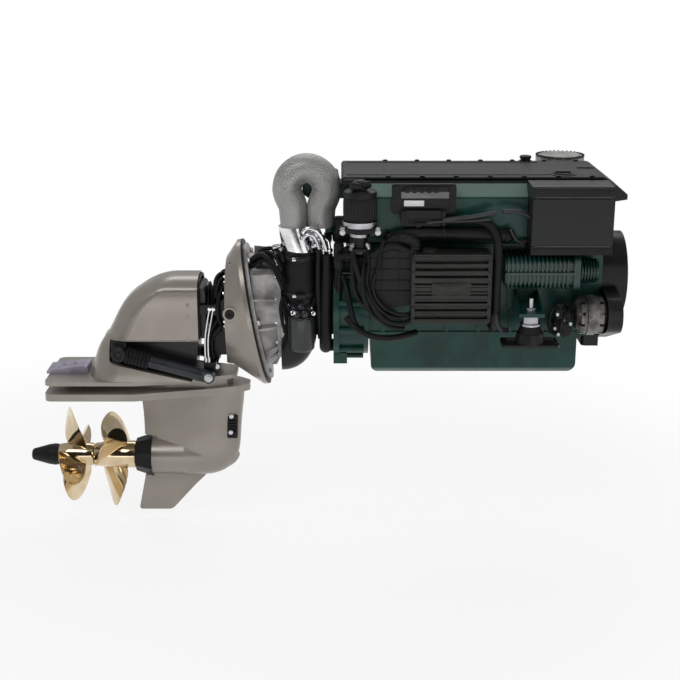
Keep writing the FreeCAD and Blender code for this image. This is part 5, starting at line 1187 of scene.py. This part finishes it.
sideHoses = {
    "hoseFilterDown": dict(points=[(350, -292, 262), (356, -300, 224), (372, -305, 170), (398, -308, 110),
                                   (430, -308, 56), (470, -308, 20), (520, -304, 12),
                                   (556, -290, 28)], radius=9),
    "hoseFilterBack": dict(points=[(396, -290, 262), (404, -300, 214), (398, -306, 160), (414, -310, 104),
                                   (446, -312, 58), (492, -310, 34), (554, -300, 42)], radius=6.5),
    "hoseDuctFront": dict(points=[(452, -310, 300), (442, -316, 262), (434, -318, 210), (418, -318, 158),
                                  (426, -318, 108), (462, -316, 66), (512, -312, 46),
                                  (556, -300, 52)], radius=6),
    "hoseLower": dict(points=[(330, -262, 20), (366, -296, -10), (420, -304, -34), (480, -292, -42),
                              (540, -262, -40), (566, -236, -38)],
                      radius=11),
    "hoseRear": dict(points=[(318, -204, 150), (330, -236, 120), (340, -262, 70), (352, -276, 20),
                             (372, -282, -20)],
                     radius=10),
    "hoseAcross": dict(points=[(300, -205, 214), (330, -232, 226), (362, -256, 228), (396, -270, 222),
                               (418, -286, 210)],
                       radius=12),
}
for name, look in sideHoses.items():
    addPiece(name, [tube(smoothLine(look["points"], 60), look["radius"], 16)], "engine",
             "blackRubber", 0)
slateLoomLook = dict(light=(0.028, 0.028, 0.033), dark=(0.015, 0.015, 0.018), metallic=0,
                     rough=(0.4, 0.55), patch=18, grain=900, depth=0.00008, coat=0.1)
paints["slateLoom"] = plainPaint("slateLoom", slateLoomLook)
loomLook = {
    "loomMain": dict(points=[(646, -284, 360), (690, -286, 366), (740, -292, 372), (790, -298, 382),
                             (816, -303, 386)], radius=8),
    "loomForward": dict(points=[(838, -303, 392), (870, -300, 392), (902, -296, 386), (930, -288, 372),
                                (938, -270, 352)], radius=8),
    "loomThin": dict(points=[(560, -274, 336), (600, -282, 350), (660, -286, 356), (730, -290, 358),
                             (800, -300, 366)], radius=5),
    "loomFoot": dict(points=[(827, -302, 44), (836, -298, 10), (852, -284, -14), (872, -262, -24)], radius=9),
    "loomShort": dict(points=[(868, -280, 330), (884, -276, 300), (902, -262, 284), (928, -246, 280)],
                      radius=6),
}
looms = [conduit(look["points"], look["radius"], 40, 12, 0.10) for look in loomLook.values()]
addPiece("sideLooms", looms, "engine", "slateLoom", 0)
print("hoses and looms laid")


# inlet grilles: two bright screws each
addPiece("grilleScrews", [bolts([(x, side * y, z)], (0.1, side, 0), 6, 3.5) for side in (-1, 1)
                          for x, y, z in ((-86, 49, -415), (-90, 49, -477))], "drive_leg",
         "polishedSteel")


# filter box: rails, their screws, and painted highlights along the edges of the panel
def boxRails():
    return [roundBlock((932, -331.8, z), (1197, -328, z + 25), 2, 1) for z in (252.5, 448.5)]


# the thin grey strips along the panel's edges are painted highlight
boxEdges = [roundBlock((944, -330.8, z), (1188, -329.4, z + 1.6), 0.6, 1, 2) for z in (281, 442)]
boxEdges += [roundBlock((x, -330.8, 281), (x + 1.6, -329.4, 443), 0.6, 1, 2) for x in (944, 1187)]
addPiece("boxRails", boxRails(), "engine", "blackPlastic")
addPiece("boxEdges", boxEdges, "engine", "greyStrip")
addPiece("boxScrews", [bolts([(x, -331.6, z)], (0, -1, 0), 6, 4, True, True)
                       for x in (963, 1178) for z in (265, 461)],
         "engine", "blackPaint")
addPiece("redPlug", [roundBlock((1199, -214, 322), (1214, -190, 340), 3, 1)], "engine",
         "redPlastic")


# breather: ribs that stand out like spokes round its rim
def breatherRibs(look):
    x, y = look["axis"]
    meshes = []
    for k in range(look["count"]):
        turn = 2 * math.pi / look["count"] * k
        way = np.array((math.cos(turn), math.sin(turn), 0))
        meshes.append(turnedForm([(0, 3.2), (look["reach"], 3.2)],
                                 way * (look["radius"] - look["reach"] + 0.6)
                                 + (x, y, look["level"]), way, 8))
    return meshes


addPiece("breatherRibs", breatherRibs(dict(axis=(1113, 274), radius=88, reach=10, level=486, count=34)),
         "engine",
         "blackPlastic")


# beside the alternator: pump body, bracket and leads
def pumpBody():
    meshes = [turnedForm([(0, 20), (0, 34), (6, 38), (34, 38), (38, 30), (52, 30), (56, 24), (60, 24)],
                         (1036, -226, 22), (1, 0, 0), 40)]
    meshes.append(roundBlock((1030, -250, -50), (1092, -196, 4), 6, 1))
    meshes.append(turnedForm([(0, 12), (0, 16), (30, 16), (34, 12)], (1050, -240, 40), (0, -0.4, 1), 24))
    return meshes


addPiece("pumpBody", pumpBody(), "engine", "blackPlastic")
addPiece("pumpFittings", [turnedForm([(0, 5), (0, 7), (8, 7), (10, 5)], place, (0.1, -1, 0.2),
                                     12) for place in
                          ((1034, -252, -20), (1046, -254, -40), (1060, -262, 16), (1084, -264, 0),
                           (1040, -256, 30))],
         "engine", "machinedSteel")
addPiece("pumpLeads", [conduit(points, 5.5, 20) for points in (
    [(1040, -250, 60), (1020, -262, 40), (1012, -262, 0), (1022, -256, -36)],
    [(1086, -258, 54), (1064, -276, 30), (1050, -272, -10), (1066, -262, -48)])], "engine",
         "blackRubber", 0)
print("last fittings done")
